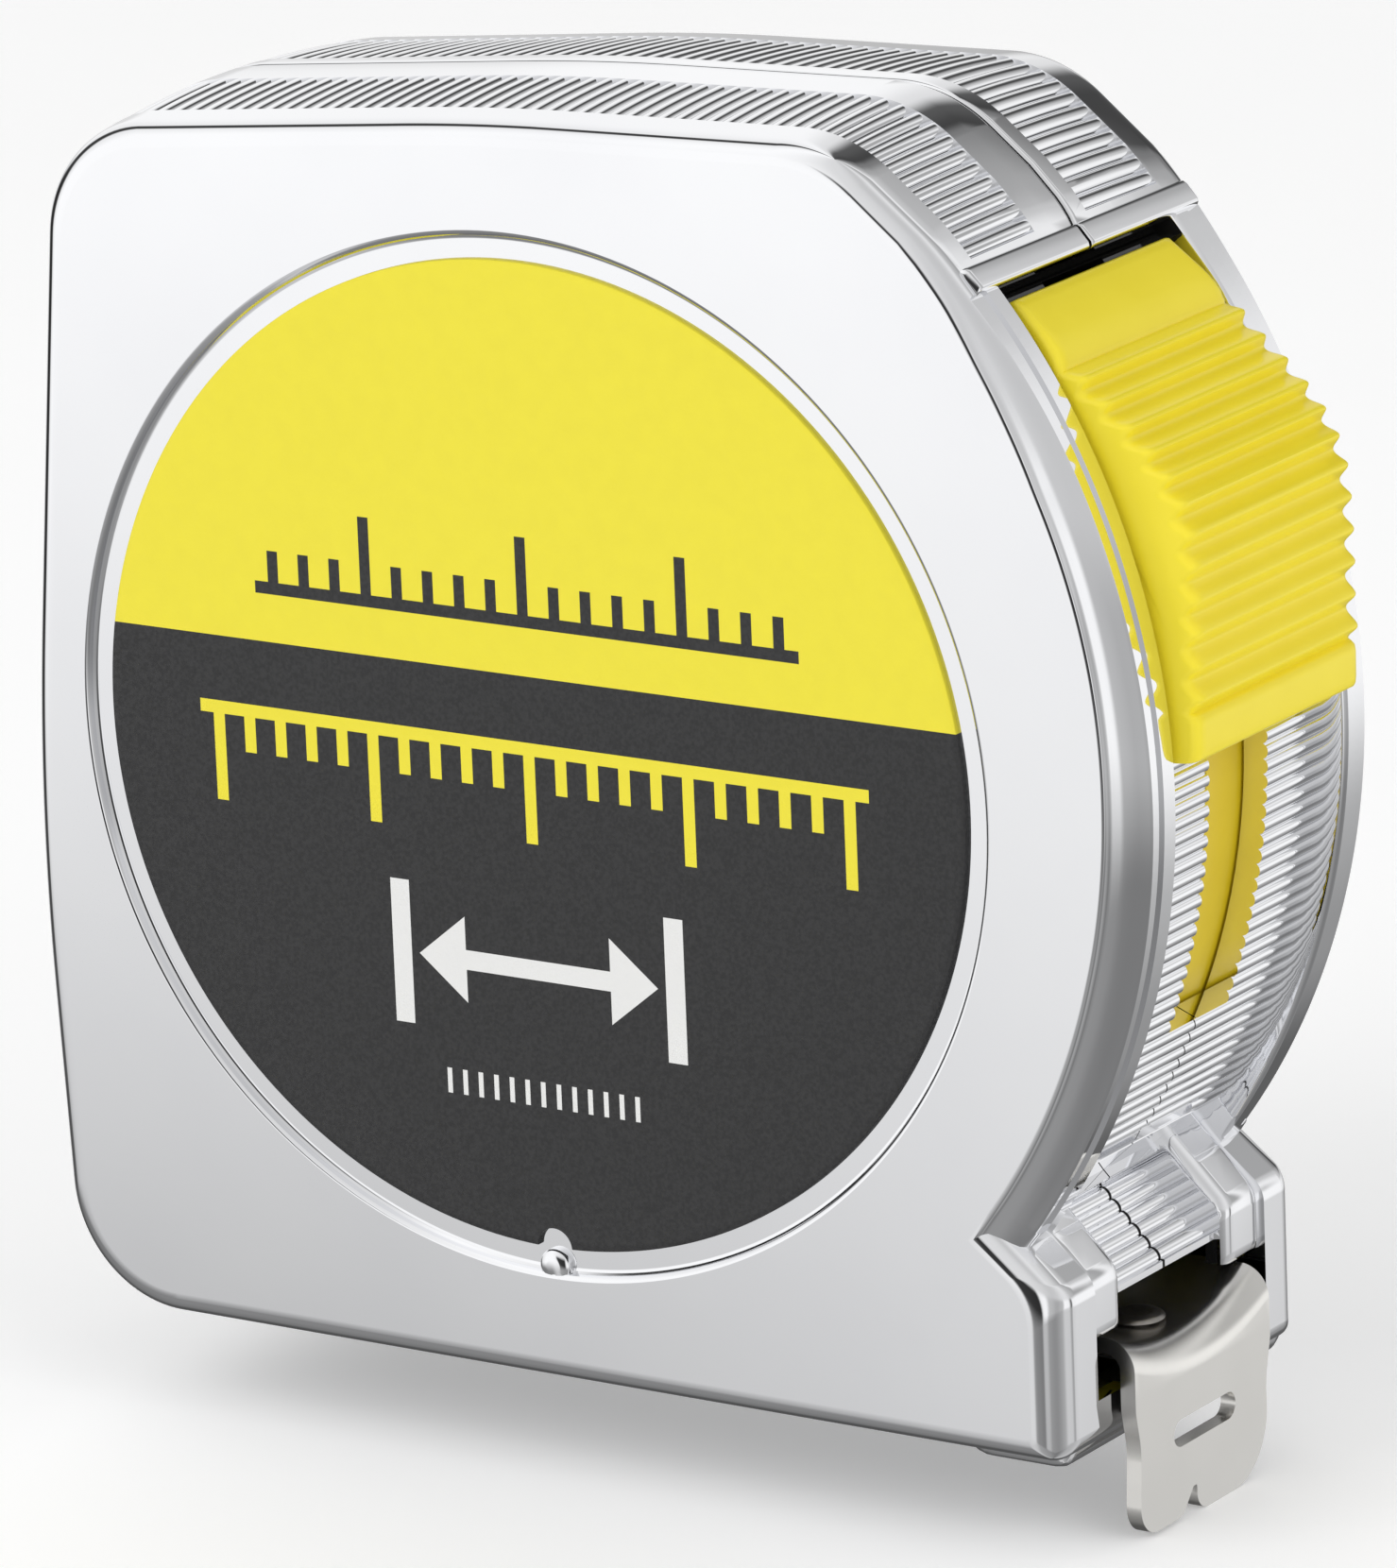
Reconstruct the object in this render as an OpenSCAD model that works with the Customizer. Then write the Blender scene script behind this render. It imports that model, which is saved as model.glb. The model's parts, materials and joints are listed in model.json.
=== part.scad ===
// Pocket tape measure with a chrome case in two halves, a curved thumb lock and a spring drum.
// X points out of the mouth, Y runs from the label face to the belt clip, Z is up.
// The origin is on the flat bottom of the case, straight below the drum's axis.

/* [Case] */
// Distance from the label face to the rear face
case_thickness = 24.4; // [24:0.1:26]
// Radius of the curved front of the case
front_r = 40.2; // [39.8:0.1:40.6]
// Thickness of the side walls
face_wall = 1.8; // [1.6:0.1:2]
// Thickness of the walls around the edge
edge_wall = 1.7; // [1.5:0.1:1.9]
// Spacing of the grip ribs along the edge
grip_pitch = 1.0; // [0.9:0.1:1.4]
// Depth of the grip ribs
grip_depth = 0.45; // [0.3:0.05:0.6]

/* [Lock] */
// Width of the sunken track that the lock rides in
track_w = 17.5; // [17:0.1:18]
// Depth of the track below the case's curved front
track_depth = 1.45; // [1.3:0.05:1.6]
// Width of the slot in the track
slot_w = 6.0; // [5.4:0.1:6.4]
// Height of the thumb pad's crown above the case's curved front
pad_crown = 3.45; // [2.5:0.05:3.6]

/* [Blade] */
// Width of the blade
blade_w = 12.7; // [12:0.1:13]
// Thickness of the blade
blade_t = 0.15; // [0.12:0.01:0.2]
// Rise of the blade's edges above its middle
blade_cup = 1.2; // [1:0.1:1.3]
// Outer radius of the wound blade
coil_r = 18.6; // [17.5:0.1:19]

/* [Hook] */
// Width of the end hook
hook_w = 14.0; // [13.4:0.1:14.4]
// Thickness of the end hook
hook_t = 0.9; // [0.8:0.05:1]
// How far the hook hangs below the case
hook_drop = 5.8; // [5:0.1:6]

/* [Label] */
// Radius of the printed label
label_r = 27.05; // [26:0.05:27.4]
// Radius of the recess that holds the label
recess_r = 28.4; // [28:0.05:28.6]

/* [Belt clip] */
// Width of the belt clip
clip_w = 14; // [12:0.5:16]
// Clear gap between the clip's base and its finger
clip_gap = 4.6; // [4.4:0.1:5]

/* [Hidden] */
$fn = 96;
eps = 0.02;

chrome = "gainsboro";
yellow = "gold";
steel = "silver";
dark = "dimgray";

half_t = case_thickness / 2;
spool_z = 34.4;
front_c = [-2.3, 36];
recess_depth = 0.6;
label_t = 0.3;
wall_y = half_t - face_wall;

// The edge is flat from the seam out to band_y, then steps down a bevel to the face.
band_y = 11.0;
bevel_steps = [0.35, 0.8, 1.25, 1.7];

// Grip ribs: where each band starts and ends, measured from the seam.
front_grip = [3.0, 9.9];
rear_grip = [1.3, 8.2];

// Lock track, measured as angles about the centre of the curved front.
track_r = front_r - track_depth;
track_in_r = track_r - 1.45;
track_low = -38.5;
ledge_low = 40.6;
ledge_high = 43;
slot_low = -22.3;
slot_high = 36;
track_pitch = 0.85;
track_rib = 0.3;

// Mouth
nose_x = 32.1;
crease_a = -37.8;
ear_x = 31.75;
ear_in = 5.4;
mouth_low = 2.65;
ear_low = 5.8;
lip_z = 7.2;
ramp_sum = 38.7;

// Blade at the mouth: an arc in section, cupped upwards.
blade_mid_z = 2.95;
cup_r = (pow(blade_w / 2, 2) + pow(blade_cup, 2)) / (2 * blade_cup);
blade_tip_x = 32.2;
blade_tail_x = -17;
rivet_x = [24.6, 29.2];
leg_low = blade_t + 0.05;
leg_top = blade_mid_z + leg_low + hook_t;
rivet_r = 0.8;
hook_play = 0.9;

// Drum
arbor_r = 3.0;
hub_bore_r = arbor_r + 0.05;
drum_r = 14.0;
drum_wall = 1.4;
drum_y = 6.5;
drum_web = 1.2;

// Case screws: X and Z of each.
screw_pos = [[-24.5, 60.5], [-25, 8.5], [15.5, 63], [19.5, 13.5]];
screw_r = 1.1;
clip_screw_z = 46;

// ---------- Geometry helpers ----------

function unit(v) = v / norm(v);
function left_of(v) = [-v[1], v[0]];
function arc(c, r, a0, a1, n) = [for (i = [0:n]) let (a = a0 + (a1 - a0) * i / n) c + r * [cos(a), sin(a)]];

// Moves every edge of a counter-clockwise polygon inwards by d.
function inset(p, d) = [
    for (i = [0:len(p) - 1])
        let (
            u = unit(p[i] - p[(i + len(p) - 1) % len(p)]),
            v = unit(p[(i + 1) % len(p)] - p[i]),
            m = left_of(u),
            n = left_of(v)
        )
        p[i] + (m + n) * d / (1 + m * n)
];

// Outline of a strip of thickness t whose middle line is the open path p.
function side_of(p, i) =
    let (
        u = unit(p[min(i + 1, len(p) - 1)] - p[min(i, len(p) - 2)]),
        v = unit(p[max(i, 1)] - p[max(i - 1, 0)])
    )
    (left_of(u) + left_of(v)) / (1 + u * v);
function thick_path(p, t) = concat(
    [for (i = [0:len(p) - 1]) p[i] + side_of(p, i) * t / 2],
    [for (i = [len(p) - 1:-1:0]) p[i] - side_of(p, i) * t / 2]
);

// Rounds a corner b between a and c with radius r.
function round_corner(a, b, c, r, n) =
    let (
        u = unit(a - b),
        v = unit(c - b),
        half = acos(max(-1, min(1, u * v))) / 2,
        s = b + u * r / tan(half),
        e = b + v * r / tan(half),
        mid = b + unit(u + v) * r / sin(half),
        a0 = atan2(s[1] - mid[1], s[0] - mid[0]),
        turn = ((atan2(e[1] - mid[1], e[0] - mid[0]) - a0 + 540) % 360) - 180
    )
    [for (i = [0:n]) mid + r * [cos(a0 + turn * i / n), sin(a0 + turn * i / n)]];

// Case outline: the curved front, then the corners with their radii, then the nose.
corners = [
    [[-2, 68.75], 150, 4], [[-29.2, 66.1], 7, 8], [[-32.6, 28], 150, 6],
    [[-31.3, 0], 7, 8], [[nose_x, 0], 1.2, 4], [[nose_x, 9.2], 1.6, 4]
];
top_corner = [20.0, 69.42];
front_arc = arc(front_c, front_r, crease_a, 52, 48);
sharp = concat(front_arc, [top_corner], [for (c = corners) c[0]]);
arc_n = len(front_arc);

function outline(d) =
    let (p = inset(sharp, d), n = len(p))
    concat(
        [for (i = [0:arc_n - 1]) p[i]],
        round_corner(p[arc_n - 1], p[arc_n], p[arc_n + 1], max(2.6 - d, 0.5), 4),
        [for (k = [0:len(corners) - 1])
            let (i = arc_n + 1 + k)
            each round_corner(p[i - 1], p[i], p[(i + 1) % n], max(corners[k][1] - d, 0.4), corners[k][2])]
    );

// Part of the outline that carries grip ribs: from the ledge over the top to the rear corner.
grip_turn = arc(front_c, front_r, ledge_high + 1, 52, 7);
grip_path = concat(
    grip_turn,
    round_corner(front_arc[arc_n - 1], top_corner, corners[0][0], 2.6, 4),
    round_corner(top_corner, corners[0][0], corners[1][0], 150, 4),
    round_corner(corners[0][0], corners[1][0], corners[2][0], 7, 8)
);
function path_lengths(p, i = 1, acc = [0]) =
    i == len(p) ? acc : path_lengths(p, i + 1, concat(acc, [acc[i - 1] + norm(p[i] - p[i - 1])]));
grip_len = path_lengths(grip_path);
function segment_at(s, i = 1) = s <= grip_len[i] || i == len(grip_len) - 1 ? i : segment_at(s, i + 1);
function grip_point(s, d) =
    let (
        i = segment_at(s),
        a = grip_path[i - 1],
        b = grip_path[i],
        u = unit(b - a)
    )
    a + u * (s - grip_len[i - 1]) + left_of(u) * d;

// One groove between ribs every grip_pitch, with sloping sides.
grip_count = floor((grip_len[len(grip_len) - 1] - 1) / grip_pitch);
grip_teeth = [
    for (i = [0:grip_count - 1])
        let (s = i * grip_pitch)
        each [
            grip_point(s + 0.30 * grip_pitch, 0.05),
            grip_point(s + 0.45 * grip_pitch, grip_depth),
            grip_point(s + 0.80 * grip_pitch, grip_depth),
            grip_point(s + 0.95 * grip_pitch, 0.05)
        ]
];
grip_cutter_2d = concat(grip_teeth, [
    for (i = [len(grip_path) - 2:-1:0]) grip_path[i] + 3 * unit(grip_path[i] - [-4, 34])
]);

module along_y(y0, y1) {
    translate([0, y1, 0]) rotate([90, 0, 0]) linear_extrude(y1 - y0) children();
}
module bar_y(x, z, r, y0, y1) {
    translate([x, y1, z]) rotate([90, 0, 0]) cylinder(r = r, h = y1 - y0);
}
module box(low, high) {
    translate(low) cube(high - low);
}

// Ring sector about the centre of the curved front, with plain edges.
module sector_2d(r0, r1, a0, a1, n = 40) {
    polygon(concat(arc(front_c, r0, a0, a1, n), arc(front_c, r1, a1, a0, n)));
}
// A solid ring sector with true cylindrical faces, for the parts that slide round that centre.
module ring_sector(r0, r1, a0, a1, half_w) {
    intersection() {
        difference() {
            bar_y(front_c[0], front_c[1], r1, -half_w, half_w);
            bar_y(front_c[0], front_c[1], r0, -half_w - 1, half_w + 1);
        }
        along_y(-half_w, half_w)
            polygon([front_c, front_c + 60 * [cos(a0), sin(a0)], front_c + 60 * [cos(a1), sin(a1)]]);
    }
}
// The flat sector again, with the track's cross ribs on its inner edge.
module track_2d(a0, a1) {
    step = track_pitch / track_r * 180 / PI;
    count = floor((a1 - a0) / step);
    teeth = [
        for (i = [0:count - 1])
            let (a = a0 + (a1 - a0) * i / count, w = (a1 - a0) / count)
            each [
                front_c + track_r * [cos(a), sin(a)],
                front_c + track_r * [cos(a + 0.5 * w), sin(a + 0.5 * w)],
                front_c + (track_r - track_rib) * [cos(a + 0.75 * w), sin(a + 0.75 * w)]
            ]
    ];
    polygon(concat(teeth, arc(front_c, front_r + 2, a1, a0, 30)));
}

// ---------- Case ----------

// Hollow inside the edge walls, stepped in behind the track.
module cavity_2d() {
    difference() {
        polygon(outline(edge_wall));
        sector_2d(track_in_r, front_r + 1, -41, ledge_high + 1.5);
        polygon([[25.85, 11.53], [30.1, 7.2], [34, 7.2], [34, 13], [27.15, 13]]);
    }
}

// One case half, from the seam at y = 0 out to the face at y = half_t.
module shell_blank(grip) {
    step_t = (half_t - band_y) / len(bevel_steps);
    difference() {
        union() {
            along_y(0, band_y) polygon(outline(0));
            for (i = [0:len(bevel_steps) - 1])
                along_y(band_y + i * step_t - eps, band_y + (i + 1) * step_t)
                    polygon(outline(bevel_steps[i]));
            along_y(0, band_y) sector_2d(front_r - 1, front_r + 0.5, ledge_low, ledge_high, 3);
            box([25.8, 0, -0.7], [31.2, 10.9, 1]);
        }
        along_y(grip[0], grip[1]) polygon(grip_cutter_2d);
        along_y(-1, wall_y) cavity_2d();
    }
}

module track_and_mouth_cuts() {
    half = track_w / 2;
    along_y(-half, half) track_2d(track_low, ledge_low);
    along_y(-half, half) sector_2d(track_r - 0.1, front_r - 0.3, ledge_low - 1, ledge_high + 1, 4);
    along_y(-slot_w / 2, slot_w / 2) sector_2d(track_in_r - 1, front_r, slot_low, slot_high);
    along_y(-ear_in, ear_in)
        polygon([
            [ramp_sum - 11.3, 11.3], [ramp_sum - lip_z, lip_z], [nose_x + 1, lip_z],
            [nose_x + 1, 14], [ramp_sum - 10.2, 12.4]
        ]);
    box([ear_x, -half, mouth_low], [nose_x + 1, half, 11]);
    box([28, -half, mouth_low], [nose_x + 1, half, ear_low]);
    box([28, -ear_in, mouth_low], [nose_x + 1, ear_in, lip_z]);
    box([29.5, -5.6, 0.9], [nose_x + 1, 5.6, mouth_low + 1]);
}

// Bosses inside one half: the drum's post socket and the screw posts.
module bosses() {
    bar_y(0, spool_z, 7, 7.3, wall_y + eps);
    for (p = screw_pos) bar_y(p[0], p[1], 2.3, 0, wall_y + eps);
}

module front_shell() {
    color(chrome) mirror([0, 1, 0]) difference() {
        union() {
            shell_blank(front_grip);
            bosses();
        }
        track_and_mouth_cuts();
        bar_y(0, spool_z, arbor_r, 7, 9.6);
        for (p = screw_pos) bar_y(p[0], p[1], screw_r, -1, 8);
        difference() {
            bar_y(0, spool_z, recess_r, half_t - recess_depth, half_t + 1);
            bar_y(0.3, spool_z - recess_r + 0.5, 0.9, half_t - recess_depth - 1, half_t + 2);
        }
    }
}

module rear_shell() {
    color(chrome) difference() {
        union() {
            shell_blank(rear_grip);
            bosses();
            bar_y(0, clip_screw_z, 2.3, 7.5, wall_y + eps);
        }
        track_and_mouth_cuts();
        bar_y(0, spool_z, arbor_r, 7, 9.6);
        bar_y(0, clip_screw_z, screw_r, 8, half_t + 1);
        for (p = screw_pos) {
            bar_y(p[0], p[1], screw_r, -1, half_t + 1);
            bar_y(p[0], p[1], 2.0, half_t - 1.6, half_t + 1);
        }
    }
}

module label_disc() {
    color(yellow) difference() {
        bar_y(0, spool_z, label_r, -half_t + recess_depth - label_t, -half_t + recess_depth);
        bar_y(0.3, spool_z - label_r, 1.1, -half_t - 1, 0);
    }
}

module mouth_bumper() {
    color(dark) box([29.6, -5.5, 0.9], [nose_x + 0.2, 5.5, mouth_low - 0.15]);
}

module case_screws() {
    color(steel) for (p = screw_pos) {
        bar_y(p[0], p[1], screw_r, -7.5, half_t - 1.6);
        difference() {
            bar_y(p[0], p[1], 1.95, half_t - 1.6, half_t - 0.2);
            for (a = [0, 90])
                translate([p[0], half_t, p[1]]) rotate([0, a, 0]) cube([2.4, 1.6, 0.5], center = true);
        }
    }
}

// ---------- Lock ----------

// The thumb pad swells to a crown: its top is an arc of a smaller circle with rounded ribs.
pad_low = 2.8;
pad_high = 39;
crown_a = 20;
crown_r = 14.2;
crown_c = front_r + pad_crown - crown_r;
// Distance from the centre of the curved front to the pad's top at angle a.
function pad_top(a) =
    let (b = a - crown_a, h = crown_c * sin(b))
    crown_c * cos(b) + sqrt(max(crown_r * crown_r - h * h, 0));
pad_rib_n = 12;
pad_rib_low = 6.2;
pad_rib_high = 33;
pad_rib_w = (pad_rib_high - pad_rib_low) / pad_rib_n;
pad_profile = concat(
    [for (a = [[pad_low, 2.4], [pad_rib_low - 0.6, 2.75]]) [a[0], front_r + a[1] - track_depth + 0.3]],
    [for (i = [0:pad_rib_n - 1], k = [0:3])
        let (a = pad_rib_low + (i + k / 4) * pad_rib_w, dip = [0.75, 0.2, 0, 0.2][k])
        [a, max(pad_top(a), front_r + 0.6) - dip]],
    [[pad_rib_high + 0.4, front_r - 0.1], [34.5, front_r + 0.35], [pad_high, front_r - 0.75]]
);

module lock_button() {
    pad_w = track_w - 0.8;
    floor_r = track_r + 0.1;
    top = [for (p = pad_profile) front_c + p[1] * [cos(p[0]), sin(p[0])]];
    color(yellow) {
        along_y(-pad_w / 2, pad_w / 2) polygon(concat(arc(front_c, floor_r, pad_high, pad_low, 24), top));
        along_y(-slot_w / 2 + 0.2, slot_w / 2 - 0.2) sector_2d(track_in_r - 0.2, floor_r + 0.3, 8, 30, 16);
    }
}

module lock_tongue() {
    color(yellow) ring_sector(track_in_r - 1.4, track_in_r - 0.2, -35.5, 34, slot_w / 2 + 1.2);
}

module brake_shoe() {
    color(dark) ring_sector(track_in_r - 2.6, track_in_r - 0.2, -38.5, -35.5, 4);
}

// ---------- Blade and hook ----------

// A strip bent to the blade's cup, between x0 and x1; low and high are measured from its middle.
module cupped_strip(x0, x1, w, low, high) {
    top_z = blade_mid_z + cup_r;
    intersection() {
        translate([x0, 0, top_z]) rotate([0, 90, 0]) difference() {
            cylinder(r = cup_r - low, h = x1 - x0, $fn = 180);
            translate([0, 0, -1]) cylinder(r = cup_r - high, h = x1 - x0 + 2, $fn = 180);
        }
        box([x0 - 1, -w / 2, blade_mid_z - 2], [x1 + 1, w / 2, blade_mid_z + 4]);
    }
}

module blade_end() {
    color(yellow) difference() {
        cupped_strip(blade_tail_x, blade_tip_x, blade_w, 0, blade_t);
        for (x = rivet_x) translate([x, 0, 0]) cylinder(r = rivet_r, h = 8);
    }
}

module hook_rivets() {
    color(steel) for (x = rivet_x) translate([x, 0, 0]) {
        translate([0, 0, blade_mid_z - 0.2]) cylinder(r = 1.5, h = 0.2);
        translate([0, 0, blade_mid_z - 0.1]) cylinder(r = rivet_r, h = hook_t + 0.6);
        translate([0, 0, leg_top + 0.13]) cylinder(r1 = 1.6, r2 = 1.1, h = 0.4);
    }
}

module end_hook() {
    plate_x = nose_x + 0.3;
    notch_y = -1.0;
    color(steel) difference() {
        union() {
            cupped_strip(rivet_x[0] - 2.6, plate_x + eps, hook_w, leg_low, leg_low + hook_t);
            difference() {
                translate([plate_x, 0, 0]) rotate([90, 0, 90]) linear_extrude(hook_t)
                    polygon(hook_face(notch_y));
                translate([plate_x - 1, 0, blade_mid_z + cup_r]) rotate([0, 90, 0])
                    cylinder(r = cup_r - leg_low - hook_t, h = hook_t + 2, $fn = 180);
            }
        }
        for (x = rivet_x) hull() for (dx = [0, -hook_play])
            translate([x + dx, 0, -1]) cylinder(r = rivet_r + 0.05, h = 8, $fn = 32);
        translate([plate_x - 1, 0, -0.9]) rotate([90, 0, 90]) linear_extrude(hook_t + 2) {
            square([4.9, 1.5], center = true);
            for (y = [-2.45, 2.45]) translate([y, 0]) circle(r = 0.75);
        }
    }
}

// Front view of the hook's plate: two rounded lobes with a narrow notch between them.
function hook_face(notch_y) =
    let (w = hook_w / 2, low = -hook_drop)
    concat(
        [[notch_y + 0.1, low + 1.35]],
        round_corner([notch_y + 0.1, low + 1.35], [notch_y + 0.2, low], [w, low], 0.8, 4),
        round_corner([notch_y, low], [w - 0.7, low], [w - 0.6, 0], 2.6, 8),
        [[w, 1.5], [w, 7], [-w, 7], [-w, 1.5]],
        round_corner([-w + 0.6, 0], [-w + 0.2, low], [notch_y, low], 1.6, 6),
        round_corner([-w, low], [notch_y - 1.1, low], [notch_y - 0.6, low + 1.35], 1.2, 4)
    );

// Wound turns show as shallow grooves on both edges of the coil.
module blade_coil() {
    turns = 10;
    pitch = (coil_r - drum_r) / turns;
    edge = blade_w / 2;
    profile = concat(
        [[drum_r, edge - 0.3]],
        [for (i = [0:turns - 1]) each [
            [drum_r + (i + 0.5) * pitch, edge],
            [drum_r + (i + 1) * pitch, edge - 0.3]
        ]],
        [for (i = [turns - 1:-1:0]) each [
            [drum_r + (i + 1) * pitch, -edge + 0.3],
            [drum_r + (i + 0.5) * pitch, -edge]
        ]],
        [[drum_r, -edge + 0.3]]
    );
    color(steel) translate([0, 0, spool_z]) rotate([90, 0, 0]) rotate_extrude() polygon(profile);
}

// The loose last turn, opening out from the coil's top, round behind it and down to the mouth.
module blade_outer_turn() {
    first = 92;
    last = 262;
    r0 = coil_r + 0.3;
    r1 = 29.5;
    n = 34;
    spiral = [
        for (i = [0:n])
            let (a = first + (last - first) * i / n, r = r0 + (r1 - r0) * (1 - cos(180 * i / n)) / 2)
            [0, spool_z] + r * [cos(a), sin(a)]
    ];
    color(yellow) along_y(-blade_w / 2, blade_w / 2) polygon(thick_path(spiral, blade_t));
}

// ---------- Drum ----------

module spool_drum() {
    color(dark) difference() {
        bar_y(0, spool_z, drum_r, -drum_y, drum_y);
        bar_y(0, spool_z, drum_r - drum_wall, -drum_y + drum_web, drum_y + 1);
        bar_y(0, spool_z, hub_bore_r, -drum_y - 1, 0);
    }
}

module spool_cover() {
    color(dark) difference() {
        bar_y(0, spool_z, drum_r - drum_wall, drum_y - drum_web, drum_y);
        bar_y(0, spool_z, hub_bore_r, 0, drum_y + 1);
    }
}

// Flat spiral spring between the arbor and the drum's wall.
module power_spring() {
    turns = 6;
    r0 = arbor_r + 0.6;
    r1 = drum_r - drum_wall - 0.3;
    n = turns * 24;
    spiral = [for (i = [0:n]) [0, spool_z] + (r0 + (r1 - r0) * i / n) * [cos(15 * i), sin(15 * i)]];
    color(steel) along_y(-4.9, 4.9) polygon(thick_path(spiral, 0.4));
}

module spool_arbor() {
    color(steel) difference() {
        bar_y(0, spool_z, arbor_r, -9.6, 9.6);
        box([-0.4, -4.9, spool_z - 1], [0.4, 4.9, spool_z + arbor_r + 1]);
    }
}

module friction_discs() {
    color("white") for (y = [-6.95, 6.65]) difference() {
        bar_y(0, spool_z, 22, y, y + 0.3);
        bar_y(0, spool_z, arbor_r + 0.2, y - 1, y + 1);
    }
}

// ---------- Belt clip ----------

clip_t = 0.9;
clip_top_z = 57;
clip_low_z = 19;

module belt_clip() {
    base_y = half_t + clip_t / 2;
    finger_y = base_y + clip_t + clip_gap;
    middle = concat(
        [[base_y, 38]],
        arc([(base_y + finger_y) / 2, clip_top_z], (finger_y - base_y) / 2, 180, 0, 16),
        [[finger_y, clip_low_z], [finger_y - 1.3, clip_low_z - 5.5], [finger_y, clip_low_z - 9.5]]
    );
    color(steel) difference() {
        translate([-clip_w / 2, 0, 0]) rotate([90, 0, 90]) linear_extrude(clip_w)
            polygon(thick_path(middle, clip_t));
        bar_y(0, clip_screw_z, screw_r + 0.1, half_t - 1, half_t + clip_t + 1);
        bar_y(0, clip_screw_z, 2.6, half_t + clip_t + 1, half_t + clip_gap + 4);
    }
}

module clip_screw() {
    color(steel) {
        bar_y(0, clip_screw_z, screw_r, 8, half_t + clip_t);
        difference() {
            bar_y(0, clip_screw_z, 2.1, half_t + clip_t, half_t + clip_t + 1.1);
            for (a = [0, 90])
                translate([0, half_t + clip_t + 1.1, clip_screw_z])
                    rotate([0, a, 0]) cube([2.4, 1.0, 0.5], center = true);
        }
    }
}

front_shell();
rear_shell();
label_disc();
lock_button();
lock_tongue();
brake_shoe();
blade_end();
hook_rivets();
end_hook();
blade_coil();
blade_outer_turn();
spool_drum();
spool_cover();
power_spring();
spool_arbor();
friction_discs();
mouth_bumper();
case_screws();
belt_clip();
clip_screw();
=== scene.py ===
"""Pocket tape measure with a chrome case: the looks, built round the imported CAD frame.

Shapes are worked out in millimetres and become metres when a mesh is made.
"""

import json
import math

import bmesh
import bpy
from mathutils import Matrix, Vector


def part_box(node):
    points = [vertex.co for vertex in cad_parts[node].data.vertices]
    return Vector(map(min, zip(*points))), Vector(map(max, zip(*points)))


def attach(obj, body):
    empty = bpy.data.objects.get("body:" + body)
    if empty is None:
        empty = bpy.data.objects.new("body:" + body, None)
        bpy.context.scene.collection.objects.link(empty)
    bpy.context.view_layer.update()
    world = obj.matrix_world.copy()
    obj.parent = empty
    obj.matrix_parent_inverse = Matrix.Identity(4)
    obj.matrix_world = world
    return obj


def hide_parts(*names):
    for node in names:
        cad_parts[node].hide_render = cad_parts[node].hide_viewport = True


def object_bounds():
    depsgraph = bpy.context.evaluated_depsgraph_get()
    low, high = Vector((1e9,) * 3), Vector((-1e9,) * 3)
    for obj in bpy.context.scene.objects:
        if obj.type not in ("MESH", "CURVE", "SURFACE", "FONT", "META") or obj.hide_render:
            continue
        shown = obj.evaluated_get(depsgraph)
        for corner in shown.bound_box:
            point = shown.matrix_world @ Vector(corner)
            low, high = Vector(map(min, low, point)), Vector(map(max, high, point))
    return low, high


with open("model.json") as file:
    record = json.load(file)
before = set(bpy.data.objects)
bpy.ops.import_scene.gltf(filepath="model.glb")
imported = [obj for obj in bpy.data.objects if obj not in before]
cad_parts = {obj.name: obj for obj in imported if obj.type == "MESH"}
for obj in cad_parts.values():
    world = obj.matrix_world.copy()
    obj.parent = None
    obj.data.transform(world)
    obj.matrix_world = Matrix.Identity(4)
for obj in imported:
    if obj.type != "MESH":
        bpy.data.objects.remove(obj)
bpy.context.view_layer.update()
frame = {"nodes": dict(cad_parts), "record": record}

MM = 0.001

# ---------- Sizes taken from the frame ----------

joint_at = {j["name"]: j.get("pos_m") for j in frame["record"]["behaviour"]["joints"]}
CX, CZ = joint_at["lock_slide"][0] / MM, joint_at["lock_slide"][2] / MM
SPOOL_Z = joint_at["spool_turn"][2] / MM


def box_mm(node):
    low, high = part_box(node)
    return low / MM, high / MM


HALF_T = -box_mm("front_shell")[0].y
WALL = 1.7
NOSE_X = 32.1
FRONT_R = 40.2
TRACK_R = FRONT_R - 1.45
TRACK_IN_R = TRACK_R - 1.45
TRACK_Y = 8.75
# Where the curved front begins, above the nose
CREASE_A = -37.8
# The angles between which there is a gap under the ledge
GAP_LOW_A, GAP_HIGH_A = 39.6, 43.4
EAR_Y = 5.4
LABEL_LOW, LABEL_HIGH = box_mm("label_disc")
LABEL_R = (LABEL_HIGH.x - LABEL_LOW.x) / 2
RECESS_R = 28.4
RECESS_Y = HALF_T - 0.6
STOP_X = 0.3
HOOK_LOW, HOOK_HIGH = box_mm("end_hook")
BLADE_LOW, BLADE_HIGH = box_mm("blade_end")
RIVET_X = (24.6, 29.2)
RIVET_SHAFT_R = 0.78
RIVET_SLOT_R, RIVET_SLOT_PLAY = 0.86, 0.9
CLIP_SCREW_Z = 46
SCREWS = [(-24.5, 60.5), (-25, 8.5), (15.5, 63), (19.5, 13.5)]

# ---------- Mesh helpers ----------


def to_object(name, verts, faces):
    """A mesh object from millimetre points, with its faces turned outwards."""
    mesh = bpy.data.meshes.new(name)
    mesh.from_pydata([(x * MM, y * MM, z * MM) for x, y, z in verts], [], faces)
    bm = bmesh.new()
    bm.from_mesh(mesh)
    bmesh.ops.recalc_face_normals(bm, faces=bm.faces)
    bm.to_mesh(mesh)
    bm.free()
    obj = bpy.data.objects.new(name, mesh)
    bpy.context.scene.collection.objects.link(obj)
    return obj


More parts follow.
